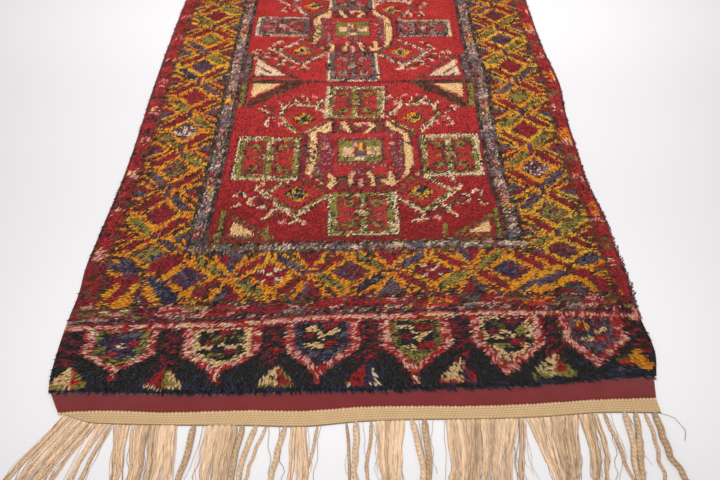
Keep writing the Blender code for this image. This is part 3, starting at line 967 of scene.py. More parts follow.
middleBox = (
    ("shadow", 0, (-58, -35, 64, 57)),
    ("boxGreen", 0, (-55, -32, 61, 54)),
    ("blushCream", 0, (-45, -9, -16, 25)),
    ("blushCream", 0, (19, -7, 53, 25)),
    ("roseMottle", 0, (-11, -14, 18, 46)),
    ("blueGrey", 0, (-4, -12, 12, 20)),
    ("pink", 0, (-14, 26, -5, 50)),
    ("yellow", 0, (0, 12, 7, 44)),
    ("ivory", 0, (-12, -26, 14, -12)),
)


def medallion(x, y, main, plan):
    dx, dy = chartX - x, chartY - y
    wide, high = plan["scale"]
    a, b = np.abs(dx) / wide, np.abs(dy) / high

    def octagon(margin):
        return (a < 138 - margin) & (b < 139 - margin) & (a + b < 216 - 1.4 * margin)

    for (sx, sy), (overX, overY) in plan["diamonds"].items():
        cornerDiamond(x + overX, y + overY, main, sx, sy, sy > 0)
    for open, (atX, atY, halfX, halfY) in plan["arms"].items():
        armSquare(x + atX, y + atY, halfX, halfY, main, open)
    paint(octagon(-5) & ~octagon(3), "darkRed")
    paint(octagon(0), "toothGround")
    paint(octagon(20) & (b < 80), "roseMottle")

    def toChart(u, v):
        return (x + u * wide, y + v * high)

    drawTable(middleGround, toChart, main, octagon(0))
    inside = octagon(0)
    for yarn, width, *points in middleLines:
        points = [toChart(u, v) for u, v in points]
        # dark knots beside the pale lines: partly the rug's dark outlines, partly painted shade
        if yarn in ("cream", "creamSpeck", "pink"):
            stroke("shadow", width + 6, points, inside & (chance.random(dx.shape) < 0.5) & ~np.isin(knots, paleNumbers))
        stroke(yarn, width, points, inside)
    for yarn, width, (left, low, right, top) in middleBox:
        box = (dx / wide > left) & (dx / wide < right) & (dy / high > low) & (dy / high < top)
        paint(box & (chance.random(dx.shape) < (0.6 if yarn == "shadow" else 1.0)), yarn)
    fleck((np.abs(dx / wide - 36) < 20) & (np.abs(dy / high - 9) < 18), "boxGreen", 0.25)


# triangles in the corners of the field's compartments, in mm from its side and end: where the triangle starts,
# its legs, the bar up the side, and the band along the end with its inner edge
nearLower = {
    "main": "greenBar", "band": "mottle", "start": (46, 24), "base": (24, 17), "legAcross": 58, "legAlong": 42,
    "barAt": (14, 0), "bar": 98, "line": 110, "bandTo": 1.5, "zigzag": False, "claw": True,
}
nearUpper = {
    "main": "greenBar", "band": "shadow", "start": (30, 30), "base": (20, 20), "legAcross": 80, "legAlong": 70,
    "barAt": (3, 3), "bar": 134, "line": 170, "bandTo": 1.75, "zigzag": False, "claw": False,
}
farLower = {
    "main": "greyLine", "band": "shade", "start": (30, 30), "base": (28, 28), "legAcross": 92, "legAlong": 92,
    "barAt": (3, 3), "bar": 150, "line": 160, "bandTo": 1.3, "zigzag": True, "claw": False,
}
farUpper = {
    "main": "greyLine", "band": "inkBlock", "start": (30, 30), "base": (16, 16), "legAcross": 60, "legAlong": 52,
    "barAt": (3, 3), "bar": 100, "line": 130, "bandTo": 1.5, "zigzag": False, "claw": True,
}
# the two medallions: middle, main colour, scale, arms (middle and half size) and moves of the corner diamonds
nearMedallion = {
    "scale": (1.0, 1.0),
    "arms": {
        "bottom": (-11, 228, 82, 80), "top": (6, -228, 81, 80),
        "right": (-232, -27, 86, 85), "left": (235, -18, 80, 84),
    },
    "diamonds": {(-1, -1): (0, 0), (-1, 1): (0, 0), (1, -1): (0, 4), (1, 1): (0, 4)},
}
farMedallion = {
    "scale": (0.92, 0.97),
    "arms": {
        "bottom": (-2, 215, 76, 80), "top": (0, -212, 76, 80),
        "right": (-220, 20, 86, 61), "left": (227, 9, 87, 54),
    },
    "diamonds": {(-1, -1): (0, 30), (-1, 1): (22, 15), (1, -1): (0, 26), (1, 1): (-20, -12)},
}


def fieldCorners(start, stop, lower, upper):
    # triangles in the four corners of a compartment
    for plan, v in ((lower, chartY - start), (upper, stop - chartY)):
        u = chartPlan["fieldHalf"] - 2 - np.abs(chartX)
        zone = (u > 0) & (v > 0) & (v < 300) & (chartY > start) & (chartY < stop)
        first, base, bar = (np.where(chartX < 0, *plan[label]) for label in ("start", "base", "barAt"))
        run = (u - first) / plan["legAcross"] + (v - base) / plan["legAlong"]
        paint(zone & (u > bar) & (u < bar + 13) & (v < plan["bar"]), plan["main"])
        paint(zone & (np.abs(u - bar - 6.5) > 6.5) & (np.abs(u - bar - 6.5) < 11) & (v < plan["bar"]), "shadow")
        paint(zone & (v > base - 14) & (v < base - 2) & (u < plan["line"]), plan["band"])
        paint(zone & (u > first - 6) & (v > 10) & (run > 1.12) & (run < plan["bandTo"]), plan["band"])
        cream = zone & (u > first) & (v > base) & (run < 1)
        paint(cream, "ivory" if plan["zigzag"] else "cream")
        if plan["zigzag"]:
            paint(cream & (np.abs(run - 0.62) < 0.06) & (v > base + 8), "brown")
            paint(cream & (np.abs(run - 0.26) < 0.06) & (u > first + 14), "brown")
        if plan["claw"]:
            for lift in (4, 28):
                paint(zone & (np.abs(u - 130) < 7) & (v > lift) & (v < lift + 20), "greenBar")


def field():
    near, divide, half = chartPlan["endInner"], chartPlan["divide"], chartPlan["fieldHalf"]
    far = chartPlan["length"] - near
    inside = (np.abs(chartX) < half) & (chartY > near) & (chartY < far)
    paint(inside, "redField")
    # painted shade: more knots of a deeper red towards the near end of the field
    nearFieldShade = np.interp(chartY, (400, 600, 900, 1300), (1.0, 0.6, 0.2, 0.05))
    paint(inside & (chance.random(chartX.shape) < nearFieldShade), "deepField")
    paint(inside & (np.abs(chartX) > half - 4), "wine")
    fieldCorners(near, divide, nearLower, nearUpper)
    fieldCorners(divide, far, farLower, farUpper)
    medallion(8, 716, "green", nearMedallion)
    medallion(-12, 1346, "grey", farMedallion)
    line = inside & (np.abs(chartY - divide) < 4)
    paint(line, "shadow")
    paint(line & (np.abs(chartX) < 100), "wine")


borders()
endPanel(False)
endPanel(True)
field()
knots = towardsRoot(knots, np.interp(chartY, (0, 300, 420, 1300), (0.13, 0.10, 0.05, 0.03)))
print("chart drawn:", knots.shape)


# Materials
bumpStrength = 0.6


def linear(colour):
    colour = np.asarray(colour, dtype=float)
    return np.where(colour <= 0.04045, colour / 12.92, ((colour + 0.055) / 1.055) ** 2.4)


def startMaterial(name, roughness, sheen=0.0):
    material = bpy.data.materials.new(name)
    material.use_nodes = True
    shader = material.node_tree.nodes["Principled BSDF"]
    shader.inputs["Roughness"].default_value = roughness
    shader.inputs["Specular IOR Level"].default_value = 0.2
    if sheen:
        shader.inputs["Sheen Weight"].default_value = sheen
        shader.inputs["Sheen Roughness"].default_value = 0.5
    return material, material.node_tree


def finishMaterial(material, colour, relief=None, depth=0.0):
    # colour, and relief where there is some, go to the shader
    tree = material.node_tree
    shader = tree.nodes["Principled BSDF"]
    feed(tree, shader, {"Base Color": colour})
    if relief is not None:
        bump = addNode(tree, "ShaderNodeBump", {"Strength": bumpStrength, "Distance": depth, "Height": relief})
        feed(tree, shader, {"Normal": bump})
    arrange(tree)
    return material


def objectPlace(tree):
    return addNode(tree, "ShaderNodeTexCoord").outputs["Object"]


def fieldOf(tree, name, output="Fac"):
    return addNode(tree, "ShaderNodeAttribute", attribute_name=name).outputs[output]


def noiseOf(tree, vector, scale, detail):
    return addNode(tree, "ShaderNodeTexNoise", {"Vector": vector, "Scale": scale, "Detail": detail})


def mapRange(tree, value, ends, **settings):
    # ends: from low, from high, to low, to high
    labels = ("Value", "From Min", "From Max", "To Min", "To Max")
    return addNode(tree, "ShaderNodeMapRange", dict(zip(labels, (value, *ends))), **settings)


def mixColours(tree, factor, a, b, **settings):
    a, b = (colour if isinstance(colour, (bpy.types.Node, bpy.types.NodeSocket)) else (*colour, 1) for colour in (a, b))
    return addNode(tree, "ShaderNodeMix", {"Factor": factor, "A": a, "B": b}, data_type="RGBA", **settings)


# tones are given as from low, from high, to low, to high
woolLook = {
    # painted shade and light along the rug: the wool's colour is darker towards the near end and lighter towards the
    # far end
    "dyeAndShadeTones": (-0.8, 0.5, 0.715, 1.12),
    "softness": 0.85,
    "fibreScale": 900,
    "fibreTones": (0, 1, 0.9, 1.1),
    # painted shade and light along each yarn end: darker at the root, brighter at the tip
    "rootShade": (0.62, 0.48, 0.40),
    "tipShade": (1.25, 1.24, 1.23),
    # painted shade on the dense wool between the tips
    "massShade": (0.54, 0.40, 0.34),
    "massScale": 420,
    "massTones": (0.3, 0.7, 0.75, 1.2),
}


def paintedNearShade(tree, coords):
    # painted shade and light: darker towards the near end, lighter towards the far end
    apart = addNode(tree, "ShaderNodeSeparateXYZ", {"Vector": coords})
    return mapRange(tree, apart.outputs["Y"], woolLook["dyeAndShadeTones"])


def woolMaterial(name, look):
    # colour of each knot from its yarn, with painted shade darker towards the root and painted light brighter at the
    # tip, painted shade and light along the rug, and fine fibres
    material, tree = startMaterial(name, 0.85)
    coords = objectPlace(tree)
    depth = mixColours(tree, fieldOf(tree, "rise"), look["rootShade"], look["tipShade"])
    fibre = mapRange(tree, noiseOf(tree, coords, look["fibreScale"], 1.0), look["fibreTones"])
    shade = maths(tree, "MULTIPLY", fibre, paintedNearShade(tree, coords))
    toned = vectors(tree, "SCALE", {0: depth, "Scale": shade})
    # fine fibres spread the light, so the facets shade more like one soft surface
    facing = addNode(tree, "ShaderNodeNewGeometry").outputs["Normal"]
    lowered = vectors(tree, "SCALE", {0: facing, "Scale": 1 - look["softness"]})
    raised = vectors(tree, "ADD", {0: lowered, 1: (0, 0, look["softness"])})
    feed(tree, tree.nodes["Principled BSDF"], {"Normal": vectors(tree, "NORMALIZE", {0: raised})})
    return finishMaterial(material, mixColours(tree, 1.0, fieldOf(tree, "yarn", "Color"), toned, blend_type="MULTIPLY"))


def massMaterial(name, look):
    # dense wool between the tips: the knot's colour, darkened there as painted shade, with a fine mottle and painted
    # shade and light along the rug
    material, tree = startMaterial(name, 0.95)
    coords = objectPlace(tree)
    mottle = mapRange(tree, noiseOf(tree, coords, look["massScale"], 2.0), look["massTones"])
    toned = maths(tree, "MULTIPLY", mottle, paintedNearShade(tree, coords))
    return finishMaterial(material, mixColours(tree, 1.0, fieldOf(tree, "yarn", "Color"), toned, blend_type="MULTIPLY"))


def wovenMaterial(name, light, dark, look):
    # flat weave: ribs across, fine yarn noise, a little unevenness of dye
    material, tree = startMaterial(name, 0.9, 0.15)
    coords = objectPlace(tree)
    mapping = addNode(tree, "ShaderNodeMapping", {"Vector": coords, "Scale": (look["scale"],) * 3})
    ribs = {"Vector": mapping, "Scale": 1.0, "Distortion": look["distortion"], "Detail": 2.0, "Detail Scale": 2.0}
    wave = addNode(tree, "ShaderNodeTexWave", ribs, wave_type="BANDS", bands_direction="X").outputs["Fac"]
    uneven = maths(tree, "MULTIPLY", noiseOf(tree, coords, 35, 6.0), 0.75)
    blend = maths(tree, "MULTIPLY_ADD", wave, 0.45, uneven, use_clamp=True)
    return finishMaterial(material, mixColours(tree, blend, dark, light), wave, look["relief"])


# Pile: each knot has its yarn ends lying over towards the near end
pileSetup = {
    "pieces": 5,
    "yarnWidth": 0.00112,
    "yarnLength": 0.0150,
    "widthSpread": (0.85, 1.15),
    "lengthSpread": 0.25,
    "lean": math.radians(75),
    "leanSpread": math.radians(8),
    "fanSpread": math.radians(12),
    "singleShare": 0.2,
    "tipSpread": (1.2, 1.0),  # mm across and along
    "nearZone": 30,  # mm in which the near end spills over
    "nearSpill": (-0.001, 0.006),
    "nearLonger": (-0.1, 0.35),
    "edgeZone": 22,  # mm in which the sides turn down
    "edgeLean": math.radians(22),
    "edgeFan": math.radians(16),
    "edgeShorter": 0.3,
    "edgeTighter": 0.4,
    "standingOut": (-0.006, 0.0042),
    "steepLength": 0.72,  # share of its length that a steep yarn keeps
    "massHeight": 0.0074,
    "rimHeight": 0.0020,
    "rimZone": 24,
    "massInset": (0, 9),
    "rootDepth": 0.0006,
    "lowestTip": 0.0026,
    "colourSpread": 0.06,
    "tintSpread": 0.03,
    # slow unevenness over the rug: wave lengths in mm, seed, amount
    "fanUneven": ((260, 120, 60), 5, math.radians(8)),
    "leanUneven": ((90, 40), 6, math.radians(4)),
    "lengthUneven": ((150, 70), 8, 0.05),
    "colourUneven": ((300, 130), 9, 0.05),
    "seed": 7,
}
tuftStops = ((0.5, 0.1), (0.5, 0.9), (0.12, 0.6), (0.88, 0.6))


def yarnEnds(name, ends):
    # ends of yarn in units of their width and length: closed slim tufts, ridged on top, widest past the middle
    verts, faces, rises, patches = [], [], [], []
    step = 1 / len(ends)
    for number, (rootX, tipX, lift, length, width) in enumerate(ends):
        first = len(verts)
        bellyX = rootX + (tipX - rootX) * 0.6
        verts += [(rootX, lift + 0.1, 0), (tipX, lift + 0.2, length)]
        verts += [(bellyX + part, lift - 0.55, 0.6 * length) for part in (-width, width)]
        faces += [[first + corner for corner in face] for face in ((0, 1, 2), (0, 3, 1), (0, 2, 3), (1, 3, 2))]
        rises += [0.0, 1.0, 0.62, 0.62]
        patches += [((number + u) * step, v, 0) for u, v in tuftStops]
    thing = meshObject(name, verts, faces)
    faceOutward(thing)
    addField(thing, "rise", "FLOAT", rises)
    addField(thing, "inPatch", "FLOAT_VECTOR", patches)
    return thing


def knotTree(setup, material, pair, single):
    tree, given = startTree("knotsOnChart", {
        "Yarn width": setup["yarnWidth"],
        "Yarn length": setup["yarnLength"],
        "Lean spread": setup["leanSpread"],
        "Fan spread": setup["fanSpread"],
        "Length spread": setup["lengthSpread"],
        "Single share": setup["singleShare"],
        "Seed": setup["seed"],
    })

    def times(a, b):
        return maths(tree, "MULTIPLY", a, b)

    def plus(a, b):
        return maths(tree, "ADD", a, b)

    def randomValue(low, high, shift):
        inputs = {2: low, 3: high, "Seed": plus(given["Seed"], shift)}
        return addNode(tree, "FunctionNodeRandomValue", inputs, data_type="FLOAT")

    # the two kinds of knot, kept as instances to choose between
    kinds = addNode(tree, "GeometryNodeJoinGeometry")
    for source in (single, pair):
        info = addNode(tree, "GeometryNodeObjectInfo", {"Object": source}).outputs["Geometry"]
        feed(tree, kinds, {"Geometry": addNode(tree, "GeometryNodeGeometryToInstance", {"Geometry": info})})
    chosen = maths(tree, "LESS_THAN", randomValue(0, 1, 5), given["Single share"])

    loose = named(tree, "loose")
    lean = plus(named(tree, "lean"), times(randomValue(-1, 1, 1), given["Lean spread"]))
    fan = plus(named(tree, "fan"), times(times(randomValue(-1, 1, 2), given["Fan spread"]), loose))
    spread = times(times(randomValue(-1, 1, 4), given["Length spread"]), loose)
    long = times(times(given["Yarn length"], plus(spread, 1.0)), named(tree, "long"))
    wide = times(given["Yarn width"], randomValue(*setup["widthSpread"], 6))
    setOut = addNode(tree, "GeometryNodeInstanceOnPoints", {
        "Points": given["Geometry"],
        "Instance": kinds,
        "Pick Instance": True,
        "Instance Index": chosen,
        "Rotation": addNode(tree, "ShaderNodeCombineXYZ", {"X": lean, "Z": fan}),
        "Scale": addNode(tree, "ShaderNodeCombineXYZ", {"X": wide, "Y": wide, "Z": long}),
    })
    real = addNode(tree, "GeometryNodeRealizeInstances", {"Geometry": setOut})

    # each knot keeps a small patch of its own in the OFBake map
    places = [named(tree, name, "FLOAT_VECTOR") for name in ("inPatch", "patchSize", "patch")]
    patch = vectors(tree, "MULTIPLY_ADD", dict(enumerate(places)))
    return finishTree(tree, store(tree, real, "OFBake", patch, data_type="FLOAT2", domain="CORNER"), material)


def smoothField(x, y, waves, seed, amount):
    numbers = np.random.default_rng(seed)
    total = np.zeros_like(x)
    for length in waves:
        for k in range(3):
            heading, phase = numbers.uniform(0, math.pi), numbers.uniform(0, 2 * math.pi)
            total += np.sin((x * math.cos(heading) + y * math.sin(heading)) * 2 * math.pi / length + phase)
    return amount * (total / (3 * len(waves)) ** 0.5)


def massHeight(inward):
    # height of the dense wool under the tips, by the distance in mm from the pile's edge
    part = np.clip(inward / pileSetup["rimZone"], 0, 1)
    return pileSetup["rimHeight"] + (pileSetup["massHeight"] - pileSetup["rimHeight"]) * np.sqrt(1 - (1 - part) ** 2)


yarnColours = linear(list(yarns.values()))


def knotPoints(rows, setup, number):
    # a point for each knot of some rows, with what its yarn ends need
    numbers = np.random.default_rng(setup["seed"] + number)
    x, y = chartX[rows], chartY[rows]
    shape = x.shape
    fullLength, chartLength = setup["yarnLength"], chartPlan["length"]
    nearEnd = np.clip(1 - y / setup["nearZone"], 0, 1)
    offX, offY = (numbers.uniform(-spread, spread, shape) for spread in setup["tipSpread"])
    tipX, tipY = layOut(x + offX, y + offY)
    tipY -= nearEnd**2 * numbers.uniform(*setup["nearSpill"], shape)
    side = rugShape["halfChart"] - np.abs(x)
    edge = np.clip(1 - side / setup["edgeZone"], 0, 1)
    # some of the yarn ends along the sides stand out past the others
    standing = np.random.default_rng(setup["seed"] + 100 + number)
    tipX += np.sign(x) * edge**2 * np.clip(standing.uniform(*setup["standingOut"], shape), 0, None)
    fan = chartLie[rows] + smoothField(x, y, *setup["fanUneven"]) + np.sign(x) * edge * setup["edgeFan"]
    farRoom = np.clip((chartLength - y - 1) / 1000, 0.001, None)
    lean = setup["lean"] + nearEnd * setup["edgeLean"] + edge * setup["edgeLean"]
    lean = lean + smoothField(x, y, *setup["leanUneven"])
    long = (1 + smoothField(x, y, *setup["lengthUneven"])) * (1 - setup["edgeShorter"] * edge)
    long = long * (1 + nearEnd**2 * numbers.uniform(*setup["nearLonger"], shape))
    loose = 1 - setup["edgeTighter"] * edge
    # at the far end they stand steeper, so that no root lies past the edge
    reach = np.minimum(fullLength * long * np.sin(np.minimum(lean, math.pi / 2)), farRoom)
    steep = reach < fullLength * long * np.sin(lean) * 0.98
    long = np.where(steep, long * setup["steepLength"], long)
    lean = np.where(steep, np.arcsin(np.clip(reach / (fullLength * long), 0, 1)), lean)
    rootX = tipX - np.sin(fan) * reach
    rootY = tipY + np.cos(fan) * reach
    acrossInset, alongInset = setup["massInset"]
    inward = np.minimum(y + np.cos(fan) * reach * 1000, chartLength - y - reach * 1000) - alongInset
    inward = np.minimum(inward, side + np.sign(x) * np.sin(fan) * reach * 1000 - acrossInset)
    height = massHeight(inward) - setup["rootDepth"]
    lowest = np.arccos(np.clip((setup["lowestTip"] - height) / (fullLength * 1.2), -1, 1)) - setup["leanSpread"]
    lean = np.minimum(lean, lowest)
    light = 1 + setup["colourSpread"] * numbers.normal(0, 1, shape) + smoothField(x, y, *setup["colourUneven"])
    tint = 1 + setup["tintSpread"] * numbers.normal(0, 1, shape + (3,))
    colour = np.clip(yarnColours[knots[rows]] * np.clip(light, 0.6, 1.5)[..., None] * tint, 0.004, 0.95)
    count = x.size
    across = int(math.ceil(count**0.5))
    order = np.arange(count)
    patch = np.stack([(order % across) / across, (order // across) / across, np.zeros(count)], 1)
    thing = meshObject(f"knots{number}", np.stack([rootX.ravel(), rootY.ravel(), height.ravel()], 1), [])
    for name, values in (("lean", lean), ("fan", fan), ("long", long), ("loose", loose)):
        addField(thing, name, "FLOAT", values)
    addField(thing, "patch", "FLOAT_VECTOR", patch)
    addField(thing, "patchSize", "FLOAT_VECTOR", np.full(count * 3, 1 / across))
    addField(thing, "yarn", "FLOAT_COLOR", withAlpha(colour))
    return thing


yarnPair = yarnEnds("yarnPair", ((-0.72, -1.0, 0.0, 1.0, 1.0), (0.72, 0.95, 0.35, 0.9, 1.0)))
yarnSingle = yarnEnds("yarnSingle", ((0.0, 0.1, 0.2, 1.05, 1.6),))
knotGroup = knotTree(pileSetup, woolMaterial("knottedWool", woolLook), yarnPair, yarnSingle)
pilePieces = []
rowsEach = -(-knots.shape[0] // pileSetup["pieces"])
for number in range(pileSetup["pieces"]):
    points = knotPoints(slice(number * rowsEach, (number + 1) * rowsEach), pileSetup, number)
    seed = pileSetup["seed"] + 10 * number
    pilePieces.append(grow(points, knotGroup, {"Seed": seed}, f"pile_{number + 1}"))
bpy.data.objects.remove(yarnPair)
bpy.data.objects.remove(yarnSingle)


# Ground weave with the dense wool that stands on it, and the red flat-woven ends: one cloth under the tips
groundSetup = {
    "kilimThickness": 0.0026,
    "underside": 0.0003,
    "columnStep": 12.0,
    "rowStep": 10.0,
    "endRows": 6,
    "ripple": 0.0011,
    "rippleUneven": ((150, 60), 12, 1.0),
    "outerEnds": (-0.532, 0.553),
    "innerEnds": (-0.560, 0.563),
    "endColour": (0.2, 0.02, 0.03),
    "underColour": (0.05, 0.03, 0.03),
    "light": (0.455, 0.13, 0.135),
    "dark": (0.335, 0.07, 0.083),
    "weave": {"scale": 330, "distortion": 1.5, "relief": 0.0006},
}


def gridStops(low, high, step, inset):
    # regular stops with a few close ones where the edge turns down
    low, high = low + inset, high - inset
    count = int(round((high - low - 30) / step))
    between = np.linspace(low + 15, high - 15, count + 1)
    return np.concatenate([[low, low + 3, low + 8], between, [high - 8, high - 3, high]])


def knotAt(x, y):
    # row and column of the knot at a place on the chart
    row = round(y / chartPlan["knotLength"] - 0.5)
    column = round(x / chartPlan["knotWidth"] + (chartPlan["knotsAcross"] - 1) / 2)
    return int(np.clip(row, 0, chartPlan["knotsAlong"] - 1)), int(np.clip(column, 0, chartPlan["knotsAcross"] - 1))


def groundCloth(setup, wool, red):
    half, length = rugShape["halfChart"], chartPlan["length"]
    endRows, thickness = setup["endRows"], setup["kilimThickness"]
    acrossInset, alongInset = pileSetup["massInset"]
    across = gridStops(-half, half, setup["columnStep"], acrossInset)
    along = gridStops(0, length, setup["rowStep"], alongInset)
    gridX, gridY = np.meshgrid(across, along)
    inward = np.minimum(half - np.abs(gridX) - acrossInset, np.minimum(gridY, length - gridY) - alongInset)
    pile = np.stack([*layOut(gridX, gridY), massHeight(inward)], 2)
    share = (across - across[0]) / (across[-1] - across[0])

    def kilimRows(side):
        outX, innerX = ((a if side < 0 else -b) + (b - a) * share for a, b in (setup["outerEnds"], setup["innerEnds"]))
        out = np.stack([outX, endLine("kilim", outX, side), np.full(len(share), thickness)], 1)
        inner = pile[0 if side < 0 else -1].copy()
        inner[:, 0] = innerX
        inner[:, 2] = thickness
        rows = []
        for part in np.linspace(0, 1, endRows):
            row = out + (inner - out) * part
            ripple = 1 + smoothField(row[:, 0] * 1000, row[:, 1] * 1000, *setup["rippleUneven"])
            row[:, 2] += setup["ripple"] * math.sin(math.pi * part) * np.clip(ripple, 0, 2.2)
            rows.append(row)
        return rows

    points = np.array(kilimRows(-1) + list(pile) + kilimRows(1)[::-1])
    rows, columns = points.shape[:2]
    verts = [tuple(p) for p in points.reshape(-1, 3)]
    faces, kinds, colours = [], [], []

    def addFace(corners, atEnd, colour):
        faces.append(corners)
        kinds.append(int(atEnd))
        colours.append(colour)

    for j in range(rows - 1):
        k = j - endRows
        for i in range(columns - 1):
            a = j * columns + i
            corners = (a, a + 1, a + 1 + columns, a + columns)
            if 0 <= k < len(along) - 1:
                knot = knotAt((across[i] + across[i + 1]) / 2, (along[k] + along[k + 1]) / 2 - 4)
                # painted shade: the dense wool between the tips takes its knot's colour darkened by massShade
                addFace(corners, False, yarnColours[knots[knot]] * woolLook["massShade"])
            else:
                addFace(corners, True, setup["endColour"])
    # the rim and the flat underside
    loop = list(range(columns)) + [j * columns + columns - 1 for j in range(1, rows)]
    loop += [(rows - 1) * columns + i for i in range(columns - 2, -1, -1)]
    loop += [j * columns for j in range(rows - 2, 0, -1)]
    first, count = len(verts), len(loop)
    verts += [(*verts[v][:2], setup["underside"]) for v in loop]
    for k in range(count):
        after = (k + 1) % count
        atEnd = min(loop[k] // columns, rows - 1 - loop[k] // columns) < endRows
        addFace((loop[k], first + k, first + after, loop[after]), atEnd, setup["underColour"])
    addFace(range(first + count - 1, first - 1, -1), False, setup["underColour"])
    thing = meshObject("ground_weave", verts, faces, wool, True)
    thing.data.materials.append(red)
    thing.data.polygons.foreach_set("material_index", kinds)
    addField(thing, "yarn", "FLOAT_COLOR", withAlpha(colours), "FACE")
    faceOutward(thing)
    return thing


kilimColours = (linear(groundSetup["light"]), linear(groundSetup["dark"]))
kilimRed = wovenMaterial("redFlatWeave", *kilimColours, groundSetup["weave"])
ground = groundCloth(groundSetup, massMaterial("denseWool", woolLook), kilimRed)
print("ground weave done:", len(ground.data.polygons), "faces")


# End bands with their fringe
# a taper is the share of the width at the root, its rise per station, and the narrowing to the tip
fringeSetup = {
    "length": 0.150,
    "leanAt": 110,
    "leanGrowth": 1.25,
    "lockStations": 13,
    "lockLength": (0.86, 1.04),
    "lockWidth": (0.5, 0.74),
    "lockFlat": 0.30,
    "lockShade": (0.25, 0.65),
    "lockTaper": (0.6, 0.3, 0.55),
    "lockBend": 0.0028,
    "gather": (0.7, 1.05),
    "tipSpread": 0.0045,
    "yarnsEach": 6,
    "yarnRadius": 0.00070,
    "yarnSize": (0.8, 1.25),
    "yarnSpread": 0.85,
    "yarnFan": (0.6, 1.5),
    "yarnShade": (0.12, 0.25),
    "yarnLength": (0.84, 1.05),
    "yarnBend": 0.0012,
    "cordStations": 21,
    "cordLength": (0.92, 1.04),
    "cordLeast": 0.0026,
    "cordFlat": 0.6,
    "cordShade": (0.1, 0.45),
    "cordTaper": (0.35, 0.35, 0.25),
    "cordBend": 0.0034,
    "strays": 44,
    "strayRadius": 0.7,  # share of yarnRadius
    "strayShade": (0, 0.8),
    "strayEnds": (-0.50, 0.54),
    "strayLength": (0.6, 1.0),
    "straySpread": 0.012,
    "strayBend": 0.008,
    "swing": (0.0009, 0.0032),
    "swingLength": (0.035, 0.085),
    "waveHeight": 0.0038,
    "waveAcross": 0.260,
    "waveAlong": 0.120,
    "seed": 1973,
}
# one loose yarn that starts at the end of the band
looseLoop = (
    (0.551, -1.073, 0.003), (0.563, -1.078, 0.004), (0.574, -1.083, 0.003), (0.580, -1.094, 0.002),
    (0.586, -1.106, 0.0012), (0.582, -1.118, 0.001), (0.578, -1.126, 0.001),
)
# locks of the fringe in mm: start and end on the band, lean of both sides, strands
lockTable = (
    (-521, -455, -45, -44, 11), (-454, -428, -20, -24, 3), (-426, -398, 15, 3, 4), (-396, -317, 4, 12, 9),
    (-291, -276, -6, -6, 2), (-261, -206, 5, -4, 5), (-203, -190, -5, -8, 2), (-179, -166, -15, -16, 2),
    (-158, -150, -25, -26, 1), (-127, -114, -16, -20, 2), (-110, -86, -2, 5, 3), (-67, -60, -15, -18, 1),
    (-17, -10, 9, 7, 1), (-3, 11, -1, 0, 2), (27, 35, -11, -7, 1), (38, 92, 1, -6, 6),
    (95, 109, 4, 3, 2), (118, 133, -1, -6, 2), (165, 305, -7, -17, 16), (307, 353, 21, -7, 6),
    (355, 393, -2, -13, 5), (395, 438, -13, -7, 5), (445, 454, 15, 14, 1), (480, 494, -7, -9, 2),
    (501, 515, -14, -17, 2), (519, 528, -4, -3, 1), (533, 549, 8, 14, 2),
)


def bandEdge(x, side):
    # outer edge of the band, which narrows to the left end of the near band and its match at the far end
    kilim, band = float(endLine("kilim", x, side)), float(endLine("band", x, side))
    part = min(1.0, max(0.0, (-x * side + 0.524) / 0.05))
    return kilim + (band - kilim) * (0.12 + 0.88 * part**0.7)


def pathObject(name, paths):
    # edges for Geometry Nodes to thicken; each path is its points with thickness, flatness, shade and twist
    verts, edges, values = [], [], []
    for points, thick, flat, shade, twist in paths:
        edges += [(s, s + 1) for s in range(len(verts), len(verts) + len(points) - 1)]
        verts += points
        values += [(t, flat, shade, twist) for t in thick]
    thing = meshObject(name, verts, [], edges=edges)
    for label, column in zip(("thick", "flat", "shade", "twist"), zip(*values)):
        addField(thing, label, "FLOAT", column)
    return thing


